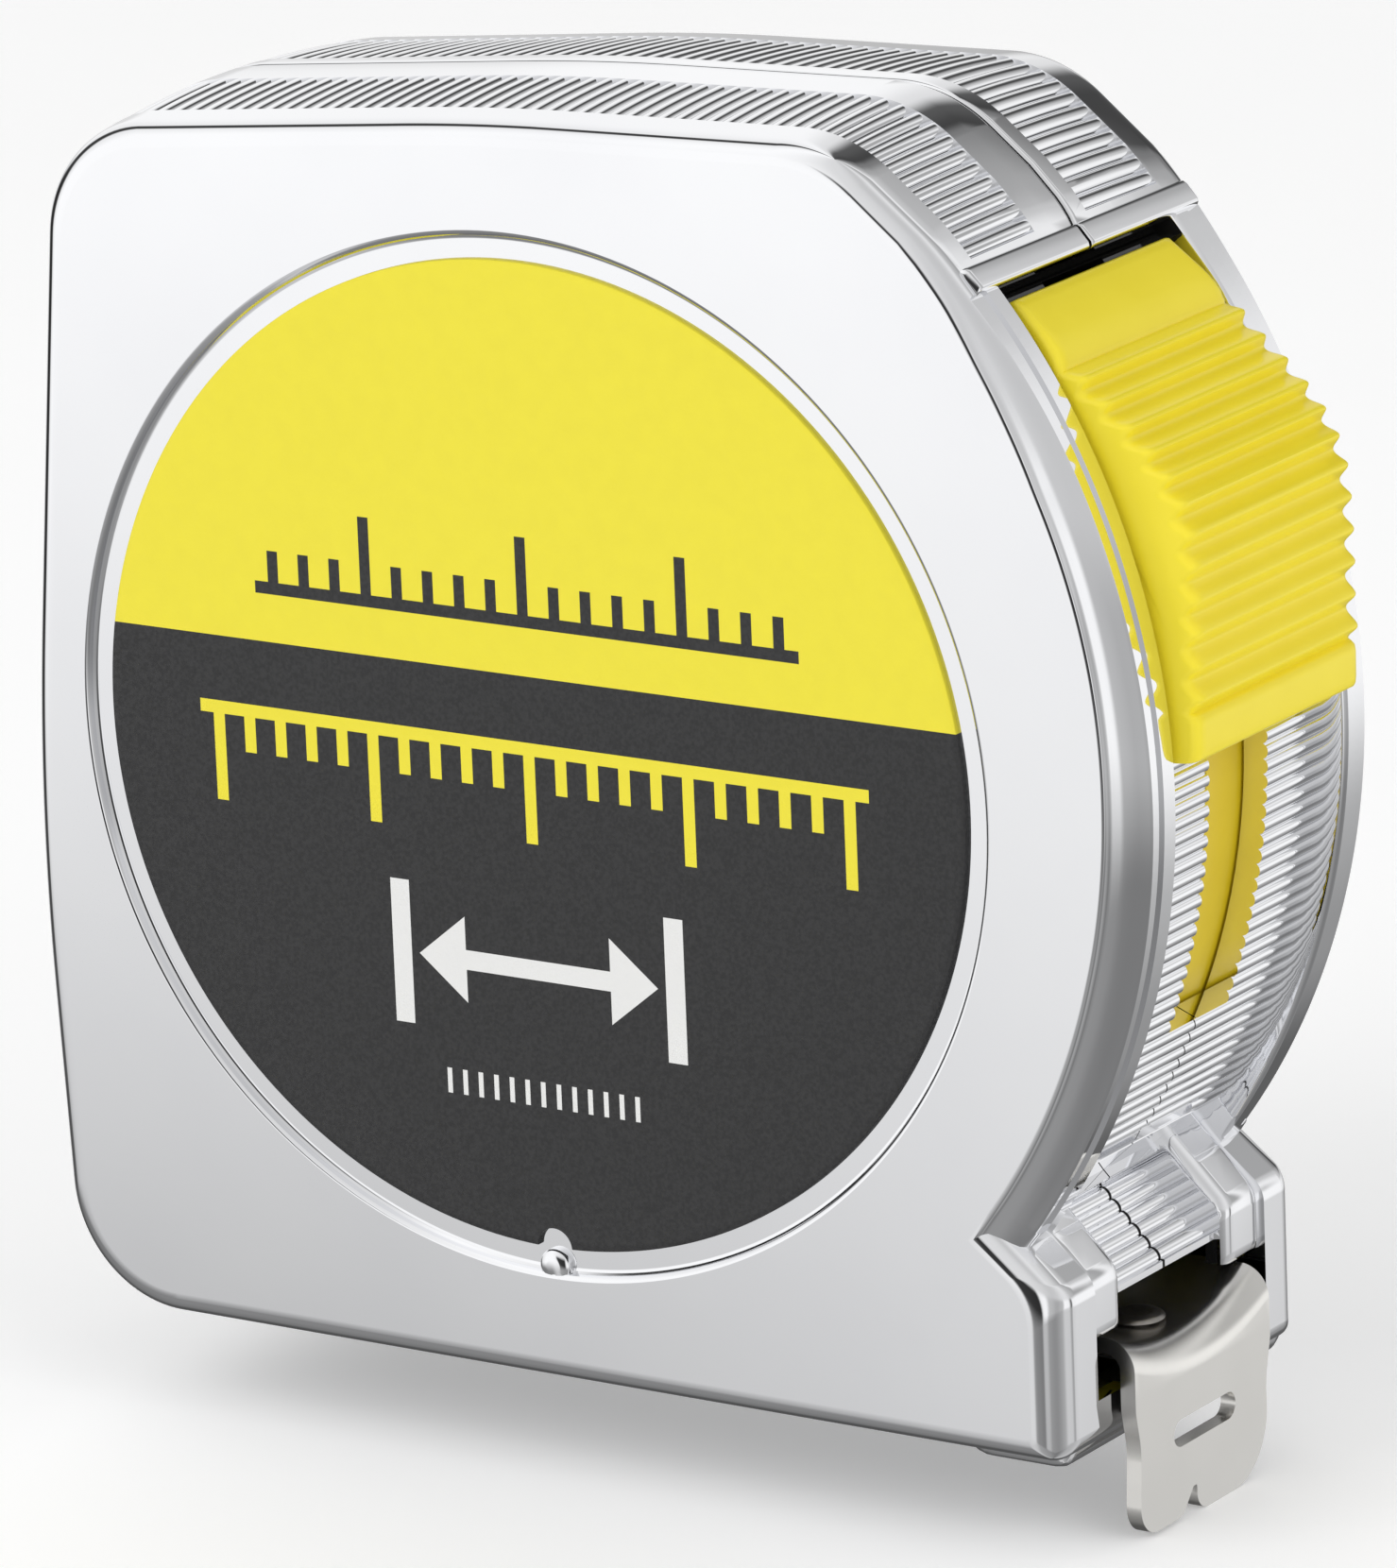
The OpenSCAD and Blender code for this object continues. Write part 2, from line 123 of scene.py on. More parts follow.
def loft(name, rings):
    """Joins rings with the same number of points and caps both ends."""
    n, m = len(rings[0]), len(rings)
    verts = [p for r in rings for p in r]
    faces = []
    for k in range(m - 1):
        a, b = k * n, (k + 1) * n
        faces += [(a + i, a + (i + 1) % n, b + (i + 1) % n, b + i) for i in range(n)]
    faces += [tuple(range(n)), tuple(range((m - 1) * n, m * n))]
    return to_object(name, verts, faces)


def along_y(name, outline, ys):
    """A straight prism: the same outline in x and z at each y."""
    return loft(name, [[(x, y, z) for x, z in outline] for y in ys])


def along_x(name, outline, xs):
    return loft(name, [[(x, y, z) for y, z in outline] for x in xs])


def circle(n):
    """The cosine and sine of n even steps round a circle."""
    return [(math.cos(math.tau * i / n), math.sin(math.tau * i / n)) for i in range(n)]


def turned(name, profile, x, z, n, y_sign=1):
    """Turns (radius, y) points about an axis along y."""
    return loft(name, [[(x + r * c, y * y_sign, z + r * s) for c, s in circle(n)] for r, y in profile])


def turned_z(name, profile, x, n=64):
    """Turns (radius, z) points about an upright axis in the middle plane."""
    return loft(name, [[(x + r * c, r * s, z) for c, s in circle(n)] for r, z in profile])


def apply_modifiers(obj):
    graph = bpy.context.evaluated_depsgraph_get()
    mesh = bpy.data.meshes.new_from_object(obj.evaluated_get(graph), depsgraph=graph)
    obj.modifiers.clear()
    old, obj.data = obj.data, mesh
    bpy.data.meshes.remove(old)
    return obj


def combine(obj, tool, operation="DIFFERENCE"):
    """Cuts tool out of obj, or joins it on, and removes tool."""
    before = len(obj.data.vertices)
    modifier = obj.modifiers.new("combine", "BOOLEAN")
    modifier.operation = operation
    modifier.solver = "MANIFOLD"
    modifier.object = tool
    apply_modifiers(obj)
    if len(obj.data.vertices) in (0, before):
        print("combine did nothing:", obj.name, tool.name)
    bpy.data.objects.remove(tool)
    return obj


def polish(obj, angle=32):
    """Smooth shading that stays crisp at edges over the angle, with flat faces kept flat."""
    mesh = obj.data
    mesh.shade_smooth()
    mesh.set_sharp_from_angle(angle=math.radians(angle))
    modifier = obj.modifiers.new("normals", "WEIGHTED_NORMAL")
    modifier.keep_sharp = True
    modifier.weight = 60
    apply_modifiers(obj)
    obj.data.name = obj.name
    return obj


def piece(obj, body, finish, node):
    """Gives a piece one material, hides the CAD node it stands in for and attaches it to its body."""
    obj.data.materials.clear()
    obj.data.materials.append(finish)
    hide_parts(node)
    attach(obj, body)


# ---------- Flat outlines ----------


def unit(v):
    length = math.hypot(*v)
    return v[0] / length, v[1] / length


def evenly(a0, a1, n):
    """The ends of n equal steps from a0 to a1."""
    return [a0 + (a1 - a0) * i / n for i in range(n + 1)]


def arc(cx, cz, r, a0, a1, n):
    turns = [math.radians(a) for a in evenly(a0, a1, n)]
    return [(cx + r * math.cos(t), cz + r * math.sin(t)) for t in turns]


def interpolate(table, at):
    """Reads a value from rising (position, value) pairs."""
    for (a0, v0), (a1, v1) in zip(table, table[1:]):
        if at <= a1:
            return v0 + (v1 - v0) * max(at - a0, 0) / (a1 - a0)
    return table[-1][1]


def inset(points, depths):
    """Moves each edge of a counter-clockwise outline inwards, by depths[i] for the edge after point i."""
    out, n = [], len(points)
    for i in range(n):
        (ax, az), (bx, bz), (cx, cz) = points[i - 1], points[i], points[(i + 1) % n]
        u, v = unit((bx - ax, bz - az)), unit((cx - bx, cz - bz))
        d0, d1 = depths[i - 1], depths[i]
        cross = u[0] * v[1] - u[1] * v[0]
        if abs(cross) < 0.05:
            k = (d0 + d1) / 2 / (1 + u[0] * v[0] + u[1] * v[1])
            out.append((bx - (u[1] + v[1]) * k, bz + (u[0] + v[0]) * k))
        else:
            out.append((bx + (d0 * v[0] - d1 * u[0]) / cross, bz + (d0 * v[1] - d1 * u[1]) / cross))
    return out


def round_corner(a, b, c, r, n):
    """An arc of radius r in place of corner b, between the lines to a and to c."""
    u, v = unit((a[0] - b[0], a[1] - b[1])), unit((c[0] - b[0], c[1] - b[1]))
    half = math.acos(max(-1, min(1, u[0] * v[0] + u[1] * v[1]))) / 2
    w = unit((u[0] + v[0], u[1] + v[1]))
    mx, mz = b[0] + w[0] * r / math.sin(half), b[1] + w[1] * r / math.sin(half)
    s = (b[0] + u[0] * r / math.tan(half), b[1] + u[1] * r / math.tan(half))
    e = (b[0] + v[0] * r / math.tan(half), b[1] + v[1] * r / math.tan(half))
    a0 = math.degrees(math.atan2(s[1] - mz, s[0] - mx))
    turn = (math.degrees(math.atan2(e[1] - mz, e[0] - mx)) - a0 + 540) % 360 - 180
    return arc(mx, mz, r, a0, a0 + turn, n)


# (corner, radius, steps) round the case after the curved front
CORNERS = [
    ((20.0, 69.42), 8, 24), ((-2, 68.75), 150, 10), ((-29.2, 66.1), 7, 24), ((-32.6, 28), 150, 16),
    ((-31.3, 0), 7, 24), ((NOSE_X, 0), 1.2, 8), ((NOSE_X, 9.2), 1.6, 12),
]
ARC_N, ARC_TOP = 96, 46
ARC_ANGLES = evenly(CREASE_A, ARC_TOP, ARC_N)
FRONT_ARC = arc(CX, CZ, FRONT_R, CREASE_A, ARC_TOP, ARC_N)
SHARP = FRONT_ARC + [corner for corner, _, _ in CORNERS]
# How broad the face's bevel is on the curved front, by angle
BEVEL_SHARE = [
    (-38, 1.5), (-15, 1.55), (0, 1.48), (10, 1.38), (25, 1.3), (31, 1.08), (36, 0.85), (41, 0.42), (46, 0.2),
]
# For each edge: how much of the broad bevel it has, and how much of the nose's rounded one
BROAD = [interpolate(BEVEL_SHARE, a) for a in ARC_ANGLES[:-1]] + [0.15, 0, 0, 0, 0, 0, 0, 0]
NOSE = [0] * (ARC_N + 6) + [1, 0.5]
# The case's edge bulges between its faces, except on the thumb's track, the nose and the bottom
CROWN = 0.9
CROWN_SHARE = [(-38, 0), (41, 0), (43, 0.5), (46, 0.75)]
SWELL = [interpolate(CROWN_SHARE, a) for a in ARC_ANGLES[:-1]] + [0.85, 1, 1, 1, 1, 0, 0, 0]
# How much the nose's upper corner grows in radius as its edge is rounded off
NOSE_CORNER_GROWTH = 2.2


def crown(y):
    return CROWN * (1 - (y / HALF_T) ** 2)


def case_ring(narrow, broad=None, nose=None, swell=0):
    """The case's outline moved in, as (x, z, share of the broad bevel, share of the nose's)."""
    broad = narrow if broad is None else broad
    nose = narrow if nose is None else nose
    depths = [
        narrow + (broad - narrow) * b + (nose - narrow) * n - swell * c for b, n, c in zip(BROAD, NOSE, SWELL)
    ]
    p = inset(SHARP, depths)
    k = len(FRONT_ARC)
    out = [(x, z, BROAD[min(i, ARC_N - 1)], 0) for i, (x, z) in enumerate(p[:k])]
    out[0] = (*p[0], BROAD[0] / 2, 0.25)
    for i, (_, r, n) in enumerate(CORNERS, k):
        if i == len(SHARP) - 1:
            radius = r + NOSE_CORNER_GROWTH * (nose - narrow)
        else:
            radius = max(r - max(depths[i - 1], depths[i]), 0.4)
        line = round_corner(p[i - 1], p[i], p[(i + 1) % len(p)], radius, n)
        for j, (x, z) in enumerate(line):
            t = j / n
            out.append((x, z, BROAD[i - 1] * (1 - t) + BROAD[i] * t, NOSE[i - 1] * (1 - t) + NOSE[i] * t))
    return out


def case_outline(d):
    return [(x, z) for x, z, _, _ in case_ring(d)]


def sample_path(points, step):
    """Points every step along a path, each with the unit normal on its left."""
    out, left = [], 0.0
    for (ax, az), (bx, bz) in zip(points, points[1:]):
        length = math.hypot(bx - ax, bz - az)
        if length < 1e-9:
            continue
        ux, uz = (bx - ax) / length, (bz - az) / length
        while left <= length:
            out.append((ax + ux * left, az + uz * left, -uz, ux))
            left += step
        left -= length
    return out


# ---------- Case halves ----------

# (inset, distance from the seam) where the bevel is narrow, then where it is broad
SHELL_PROFILE = [
    (0.45, 0.05, 0.45, 0.05), (0.24, 0.09, 0.24, 0.09), (0.10, 0.17, 0.10, 0.17), (0.03, 0.28, 0.03, 0.28),
    (0.0, 0.42, 0.0, 0.42), (0.0, 2.0, 0.0, 2.0), (0.0, 4.0, 0.0, 4.0), (0.0, 6.0, 0.0, 6.0),
    (0.0, 7.6, 0.0, 7.6), (0.0, 9.2, 0.0, 9.2), (0.0, 10.6, 0.0, 10.6), (0.0, 11.1, 0.015, 10.82),
    (0.01, 11.36, 0.06, 11.0), (0.05, 11.56, 0.14, 11.13), (0.11, 11.72, 0.26, 11.24),
    (0.155, 11.80, 0.55, 11.47), (0.20, 11.87, 0.9, 11.71), (0.25, 11.93, 1.15, 11.84),
    (0.30, 11.98, 1.38, 11.94), (0.40, 12.06, 1.50, 12.0), (0.51, 12.12, 1.60, 12.06),
    (0.62, 12.16, 1.68, 12.13), (0.74, 12.185, 1.76, 12.18), (0.90, HALF_T, 1.86, HALF_T),
    (1.2, HALF_T, 2.1, HALF_T), (2.4, HALF_T, 3.2, HALF_T),
]
# The rows at which the bevel starts and ends, and how far the nose's rounding reaches in and back
BEVEL_ROWS = (10, 23)
NOSE_IN, NOSE_BACK = 1.86, 1.6


def shell_ring(k, side):
    """Ring k of a case half. The nose's edge is a quarter ellipse in place of the bevel."""
    d0, y0, d1, y1 = SHELL_PROFILE[k]
    d2, y2 = d1, y1
    first, last = BEVEL_ROWS
    if first < k <= last:
        t = math.radians(90 * (k - first) / (last - first))
        d2, y2 = NOSE_IN * (1 - math.cos(t)), HALF_T - NOSE_BACK * (1 - math.sin(t))
    ring = case_ring(d0, d1, d2, crown(y0))
    return [(x, (y0 + (y1 - y0) * b + (y2 - y0) * n) * side, z) for x, z, b, n in ring]


# Where a rib's surface has points, as shares of its pitch
RIB_STEPS = [0, 0.05, 0.13, 0.24, 0.37, 0.5, 0.63, 0.76, 0.87, 0.95]
GRIP_PITCH, GRIP_DEPTH = 1.0, 0.5
TRACK_PITCH, TRACK_RIB = 0.84, 0.42
RAMP_RIBS, RAMP_RIB = 7, 0.28
ROUND_RIB = 0.9
# The step between samples along the grip's path
FINE = 0.01
# How much of the case's crown the grip follows, by x
GRIP_CROWN = [(-50, 1), (17, 1), (20, 0.9), (24, 0.8), (25.6, 0.75), (27, 0.5)]


def rib_dip(u, depth, sharp=0.97):
    """How far a rounded rib's surface lies below its crest, at share u of the pitch."""
    return depth * (1 - math.sqrt(1 - sharp * (2 * u - 1) ** 2))


def grip_cutter(y0, y1):
    """Cuts a ribbed band over the top of the case, from the ledge to the upper back corner."""
    path = arc(CX, CZ, FRONT_R, GAP_HIGH_A - 0.1, ARC_TOP, 12)
    for i in range(3):
        path += round_corner(*SHARP[ARC_N + i : ARC_N + i + 3], CORNERS[i][1], 24)
    fine = sample_path(path, FINE)
    count = int(len(fine) * FINE / GRIP_PITCH) - 1
    rings = []
    for y in evenly(y0, y1, 6):
        ring = []
        for i in range(count):
            for u in RIB_STEPS:
                x, z, nx, nz = fine[int((i + u) * GRIP_PITCH / FINE)]
                dip = rib_dip(u, GRIP_DEPTH) + 0.03 - crown(y) * interpolate(GRIP_CROWN, x)
                ring.append((x + nx * dip, y, z + nz * dip))
        end = int(count * GRIP_PITCH / FINE)
        x, z, nx, nz = fine[end]
        ring.append((x + nx * (0.3 - crown(y)), y, z + nz * (0.3 - crown(y))))
        outer = [(x - nx * 2.4, y, z - nz * 2.4) for x, z, nx, nz in fine[:end:40]]
        rings.append(ring + outer[::-1])
    return loft("grip_cutter", rings)


def polar(a, r):
    return CX + r * math.cos(math.radians(a)), CZ + r * math.sin(math.radians(a))


def swept(name, angle_steps, section):
    """Sweeps a section about the centre of the curved front: section(a) gives (radius, y) points."""
    rings = []
    for a in angle_steps:
        ring = []
        for r, y in section(a):
            x, z = polar(a, r)
            ring.append((x, y, z))
        rings.append(ring)
    return loft(name, rings)


def ribbed_radii(a0, a1):
    """The track's radius by angle, rib by rib."""
    count = round(math.radians(a1 - a0) * TRACK_R / TRACK_PITCH)
    step = (a1 - a0) / count
    radii = {a1: TRACK_R - rib_dip(0, TRACK_RIB, ROUND_RIB)}
    for i in range(count):
        for u in RIB_STEPS:
            radii[a0 + (i + u) * step] = TRACK_R - rib_dip(u, TRACK_RIB, ROUND_RIB)
    return radii


def track_cutter():
    radii = ribbed_radii(-37.35, GAP_LOW_A + 1)

    def section(a):
        side = [(radii[a], TRACK_Y), (FRONT_R - 0.34, TRACK_Y), (FRONT_R - 0.14, 8.81)]
        side += [(FRONT_R + 0.16, 9.08), (FRONT_R + 3, 9.4)]
        return side + [(r, -y) for r, y in side[::-1]]

    return swept("track_cutter", sorted(radii), section)


def track_end_cutter():
    """The narrower stretch of track between the ears."""
    radii = ribbed_radii(-39.8, -37.3)
    return swept("track_end_cutter", sorted(radii), lambda a: [
        (radii[a], EAR_Y), (FRONT_R + 3, EAR_Y), (FRONT_R + 3, -EAR_Y), (radii[a], -EAR_Y)])


def ring_section(r0, r1, y0, y1):
    return lambda a: [(r0, y0), (r0, y1), (r1, y1), (r1, y0)]


def ramp_cutter():
    """Cuts the ribbed slope between the ears."""
    top, low = (27.4, 11.3), (31.5, 7.2)
    line = []
    for i in range(RAMP_RIBS):
        for u in RIB_STEPS:
            t = (i + u) / RAMP_RIBS
            dip = rib_dip(u, RAMP_RIB, ROUND_RIB) * math.sqrt(0.5)
            line.append((top[0] + (low[0] - top[0]) * t - dip, top[1] + (low[1] - top[1]) * t - dip))
    line += [low, (35, 7.2), (35, 15), (30, 15), (28.6, 12.5)]
    return along_y("ramp_cutter", line, (-EAR_Y, EAR_Y))


def ear_cutter():
    """Trims the ears: an upright front with rounded ends, then a slope up to the track."""
    # (y, how far the ear is cut back there)
    rows = [
        (EAR_Y - 0.2, 0.9), (EAR_Y, 0.55), (EAR_Y + 0.12, 0.34), (EAR_Y + 0.3, 0.16), (EAR_Y + 0.55, 0.04),
        (EAR_Y + 0.85, 0.0), (TRACK_Y - 0.5, 0.0), (TRACK_Y - 0.2, 0.06), (TRACK_Y, 0.2),
    ]
    line = [(31.15, 5.5), (31.45, 5.62), (31.64, 5.85), (31.73, 6.1), (31.75, 6.45)]
    line += arc(30.05, 8.45, 1.7, 0, 45, 8) + [(28.2, 12.7)]
    rings = []
    for y, e in [(-y, e) for y, e in rows[::-1]] + rows:
        ring = [(x - 0.8 * e, y, z - 0.6 * e) for x, z in line]
        rings.append(ring + [(29.5, y, 14), (35, y, 14), (35, y, 5.5)])
    return loft("ear_cutter", rings)


def cavity_cutter(side):
    ring = arc(CX, CZ, TRACK_IN_R, -41, 44.5, 40)
    outline = case_outline(WALL)
    first = next(i for i, a in enumerate(ARC_ANGLES) if a > 44.6)
    last = len(outline) - (CORNERS[-1][2] + 1)
    ring += outline[first:last] + [(NOSE_X - WALL, 7.2), (30.1, 7.2)]
    return along_y("cavity_cutter", ring, (-1 * side, 10.4 * side))


def block(name, low, high):
    x0, y0, z0 = low
    x1, y1, z1 = high
    return along_y(name, [(x0, z0), (x1, z0), (x1, z1), (x0, z1)], (y0, y1))


def ledge(side):
    """The step above the thumb pad, at which the track ends."""
    edge = [(40.6, 39.85), (40.6, 40.45), (40.7, 40.6), (40.95, 40.7), (42.3, 40.7), (42.6, 40.62),
            (42.75, 40.45), (42.8, 39.6)]
    rings = []
    for y, e in ((0.07, 0.3), (0.12, 0.12), (0.3, 0), (10.75, 0), (10.95, 0.1), (11.02, 0.3)):
        ring = []
        for a, r in edge:
            x, z = polar(a, r - e if r > 40 else r)
            ring.append((x, y * side, z))
        rings.append(ring)
    return loft("ledge", rings)


def foot(side):
    """The low foot under the nose."""
    line = [(25.2, 0.5), (25.45, -0.2), (25.8, -0.52), (26.3, -0.68), (26.8, -0.7), (30.5, -0.7),
            (31.0, -0.62), (31.35, -0.4), (31.6, 0.0), (31.7, 0.5)]
    rings = []
    for y, e in ((0.06, 0.15), (0.2, 0), (10.3, 0), (10.65, 0.08), (10.85, 0.25), (10.95, 0.55)):
        rings.append([(x, y * side, z + e if z < 0.3 else z) for x, z in line])
    return loft("foot", rings)


def case_half(name, side, grip):
    """side is -1 for the half with the label and 1 for the half with the belt clip."""
    shell = loft(name, [shell_ring(k, side) for k in range(len(SHELL_PROFILE))])
    combine(shell, cavity_cutter(side))
    combine(shell, grip_cutter(grip[0] * side, grip[1] * side))
    rim = ring_section(FRONT_R - 0.16, FRONT_R + 2, 10.05 * side, 13 * side)
    combine(shell, swept("rim_step", evenly(-36.5, 40.7, 90), rim))
    combine(shell, track_cutter())
    combine(shell, track_end_cutter())
    gap = ring_section(TRACK_R - 0.1, FRONT_R - 0.3, -TRACK_Y, TRACK_Y)
    combine(shell, swept("under_ledge", evenly(GAP_LOW_A, GAP_HIGH_A, 6), gap))
    combine(shell, swept("slot", evenly(-22.3, 40.3, 60), ring_section(TRACK_IN_R - 1, FRONT_R, -3, 3)))
    combine(shell, ear_cutter())
    combine(shell, ramp_cutter())
    combine(shell, block("mouth_low", (27.5, -TRACK_Y, 2.65), (35, TRACK_Y, 5.8)))
    combine(shell, block("mouth_high", (27.5, -EAR_Y, 2.7), (35, EAR_Y, 7.25)))
    combine(shell, block("lip_pocket", (29.5, -5.6, 0.9), (35, 5.6, 2.9)))
    combine(shell, ledge(side), "UNION")
    combine(shell, foot(side), "UNION")
    return shell


def label_recess():
    profile = [(28.1, RECESS_Y), (28.28, RECESS_Y + 0.05), (28.38, RECESS_Y + 0.16),
               (RECESS_R, RECESS_Y + 0.3), (28.43, 12.06), (28.52, 12.13), (28.72, 12.21),
               (29.3, 12.6), (29.3, 14)]
    return turned("label_recess", profile, 0, SPOOL_Z, 240, -1)


def recess_stop():
    """The small round stop at the bottom of the label's recess."""
    profile = [(0.95, RECESS_Y - 0.3), (0.95, 11.9), (0.88, 12.02), (0.7, 12.1), (0.4, 12.14)]
    return turned("recess_stop", profile, STOP_X, SPOOL_Z - RECESS_R + 0.35, 40, -1)


def screw_bore(x, z):
    profile = [(2.0, 10.6), (2.0, 11.98), (2.06, 12.12), (2.3, 12.36), (2.5, 14)]
    return turned("screw_bore", profile, x, z, 48)


front = case_half("case_front", -1, (3.6, 9.6))
combine(front, label_recess())
combine(front, recess_stop(), "UNION")
rear = case_half("case_rear", 1, (1.5, 8.9))
for screw_x, screw_z in SCREWS:
    combine(rear, screw_bore(screw_x, screw_z))
polish(front)
polish(rear)

# ---------- Label, lock and hook ----------


def label_print():
    """The printed disc, with its rounded notch at the bottom and a soft edge."""
    top, low = HALF_T - 0.3, RECESS_Y + 0.005
    profile = [(LABEL_R, low), (LABEL_R, top - 0.06), (LABEL_R - 0.02, top - 0.02), (LABEL_R - 0.06, top),
               (LABEL_R - 0.4, top)]
    disc = turned("label_print", profile, 0, SPOOL_Z, 240, -1)
    return combine(disc, turned("notch", [(1.1, 11), (1.1, 13)], STOP_X, SPOOL_Z - LABEL_R, 48, -1))


# (angle, radius) of the pad's rib crests, from the top down, with one more point beyond each end
CRESTS = [
    (33.9, 40.75), (31.9, 41.2), (29.6, 41.65), (27.4, 42.3), (25.2, 42.9), (23.2, 43.35), (21.1, 43.6),
    (19.0, 43.55), (16.8, 43.2), (14.5, 42.8), (12.2, 42.42), (9.9, 42.05), (7.5, 41.85), (5.1, 41.75),
]
# How far the valleys lie below the crests, and at what share of a rib from its lower edge the crest is
VALLEY_DEPTH, CREST_SHARE = 0.68, 0.4
PAD_RIB_POINTS = 14


def pad_line():
    """(angle, radius) along the pad's top, from its foot to under the ledge."""
    line = [(2.75, 39.3), (2.7, 40.6), (2.72, 41.0), (2.85, 41.22), (3.1, 41.33), (3.6, 41.4), (4.6, 41.46),
            (5.4, 41.52), (5.9, 41.5), (6.2, 41.3)]
    rising = CRESTS[::-1]
    ribs = [a for a, _ in rising[1:-1]]
    middles = [(a + b) / 2 for a, b in zip(ribs, ribs[1:])]
    edges = [ribs[0] - 1.13] + middles + [ribs[-1] + 1.13]
    for low, high in zip(edges, edges[1:]):
        for k in range(PAD_RIB_POINTS):
            u = k / PAD_RIB_POINTS
            a = low + (high - low) * u
            if u < CREST_SHARE:
                turn = u / CREST_SHARE * 0.5
            else:
                turn = 0.5 + (u - CREST_SHARE) / (1 - CREST_SHARE) * 0.5
            wave = (0.5 + 0.5 * math.cos(math.tau * turn)) ** 0.85
            line.append((a, interpolate(rising, a) - VALLEY_DEPTH * wave))
    line += [(33.1, 40.42), (33.35, 40.42), (33.8, 40.52), (34.6, 40.55), (35.6, 40.45), (37, 40.2),
             (38.4, 39.98), (39.2, 39.86), (39.4, 39.7), (39.5, 39.3)]
    return line


def thumb_lock():
    floor = TRACK_R + 0.1
    half = 8.45
    # (distance in from the side, how far the top is eased down there)
    easing = [(0.0, 0.62), (0.02, 0.42), (0.08, 0.26), (0.18, 0.13), (0.32, 0.05), (0.5, 0.0), (0.9, 0.0),
              (4.0, 0.0)]
    rows = [(half - inwards, e) for inwards, e in easing]
    rows += [(-y, e) for y, e in rows[::-1]]
    rings = []
    for y, e in rows:
        ring = []
        for a in evenly(39.5, 2.9, 24):
            x, z = polar(a, floor)
            ring.append((x, y, z))
        for a, r in pad_line():
            height = max(r - e * min(1, (r - floor) / 2) - floor, 0.02)
            x, z = polar(a, floor + height)
            taper = (1 - 0.006 * height) * (1 - 0.012 * max(a - 33.5, 0))
            ring.append((x, y * taper, z))
        rings.append(ring)
    pad = loft("thumb_lock", rings)
    neck = swept("lock_neck", evenly(8, 30, 16), ring_section(TRACK_IN_R - 0.2, floor + 0.4, -2.8, 2.8))
    return combine(pad, neck, "UNION")


HOOK_THICK = 0.9
HOOK_BEND = 1.75
HOOK_CUP = 17.4


def hook_side(top, depth):
    """(x, z) along the leg, round the bend and down the plate, at a depth below the outer surface."""
    x0, x1 = HOOK_LOW.x, HOOK_HIGH.x
    line = [(x0, top - depth), (x1 - HOOK_BEND - 1, top - depth)]
    for a in range(0, 91, 10):
        t = math.radians(a)
        r = HOOK_BEND - depth
        line.append((x1 - HOOK_BEND + r * math.sin(t), top - HOOK_BEND + r * math.cos(t)))
    return line + [(x1 - depth, z) for z in (2.2, -2, HOOK_LOW.z - 1)]


def hook_face(half, low):
    """The plate as (y, z) seen from the front: a waist, then two lobes with a notch between them."""
    notch = -1.0
    face = [(-half - 2, 12), (-half - 2, 2.6), (-half, 2.6), (-half, 1.6)]
    for a, b, c, r, n in (
        ((-half, 1.6), (-half + 0.45, -0.6), (-half + 0.25, low), 6, 8),
        ((-half + 0.45, -0.6), (-half + 0.15, low + 0.25), (notch - 1.5, low + 0.25), 1.7, 12),
        ((-half, low + 0.25), (notch - 1.45, low + 0.25), (notch - 0.35, low + 1.75), 1.1, 10),
        ((notch - 1.45, low + 0.25), (notch - 0.35, low + 1.6), (notch + 0.1, low + 1.6), 0.22, 6),
        ((notch - 0.35, low + 1.6), (notch + 0.02, low + 1.6), (notch + 0.02, low + 1.2), 0.12, 4),
        ((notch + 0.02, low + 1.6), (notch + 0.02, low + 0.02), (half, low + 0.02), 1.1, 10),
        ((notch, low + 0.02), (half - 0.5, low + 0.02), (half - 0.55, 0), 3.6, 18),
        ((half - 0.5, low), (half - 0.55, -0.6), (half, 1.6), 6, 8),
    ):
        face += round_corner(a, b, c, r, n)
    return face + [(half, 1.6), (half, 2.6), (half + 2, 2.6), (half + 2, 12)]


def hook_plate():
    """The leg follows the blade's cup and bends down into a flat plate of the same thickness."""
    half = (HOOK_HIGH.y - HOOK_LOW.y) / 2
    x0, x1 = HOOK_LOW.x, HOOK_HIGH.x
    middle = BLADE_LOW.z + 0.2 + HOOK_THICK
    rings = []
    for y in evenly(-half, half, 28):
        top = middle + HOOK_CUP - math.sqrt(HOOK_CUP * HOOK_CUP - y * y)
        rings.append([(x, y, z) for x, z in hook_side(top, 0) + hook_side(top, HOOK_THICK)[::-1]])
    plate = loft("hook_plate", rings)
    combine(plate, along_x("hook_face", hook_face(half, HOOK_LOW.z), (x0 - 3, x1 + 3)), "INTERSECT")
    reach, level, r = 2.45, -0.9, 0.75
    slot = arc(reach, level, r, -90, 90, 16) + arc(-reach, level, r, 90, 270, 16)
    combine(plate, along_x("hook_slot", slot, (x1 - 3, x1 + 3)))
    for rivet_x in RIVET_X:
        line = arc(rivet_x, 0, RIVET_SLOT_R, -90, 90, 12)
        line += arc(rivet_x - RIVET_SLOT_PLAY, 0, RIVET_SLOT_R, 90, 270, 12)
        combine(plate, loft("rivet_slot", [[(x, y, z) for x, y in line] for z in (1, 9)]))
    return plate


CROSS_HALF = 0.31


def cross_recess(radius, low, high, x, z):
    """A cutter for a crossed driver slot, narrowing towards its floor."""
    bars = []
    for turned_by in (0, 1):
        rings = []
        for y, shrink in ((low, 0.75), (high, 1.0)):
            half, w = radius * shrink, CROSS_HALF * shrink
            corners = [(-half, -w), (half, -w), (half, w), (-half, w)]
            if turned_by:
                corners = [(-b, a) for a, b in corners]
            rings.append([(x + a, y, z + b) for a, b in corners])
        bars.append(loft("bar", rings))
    return combine(bars[0], bars[1], "UNION")


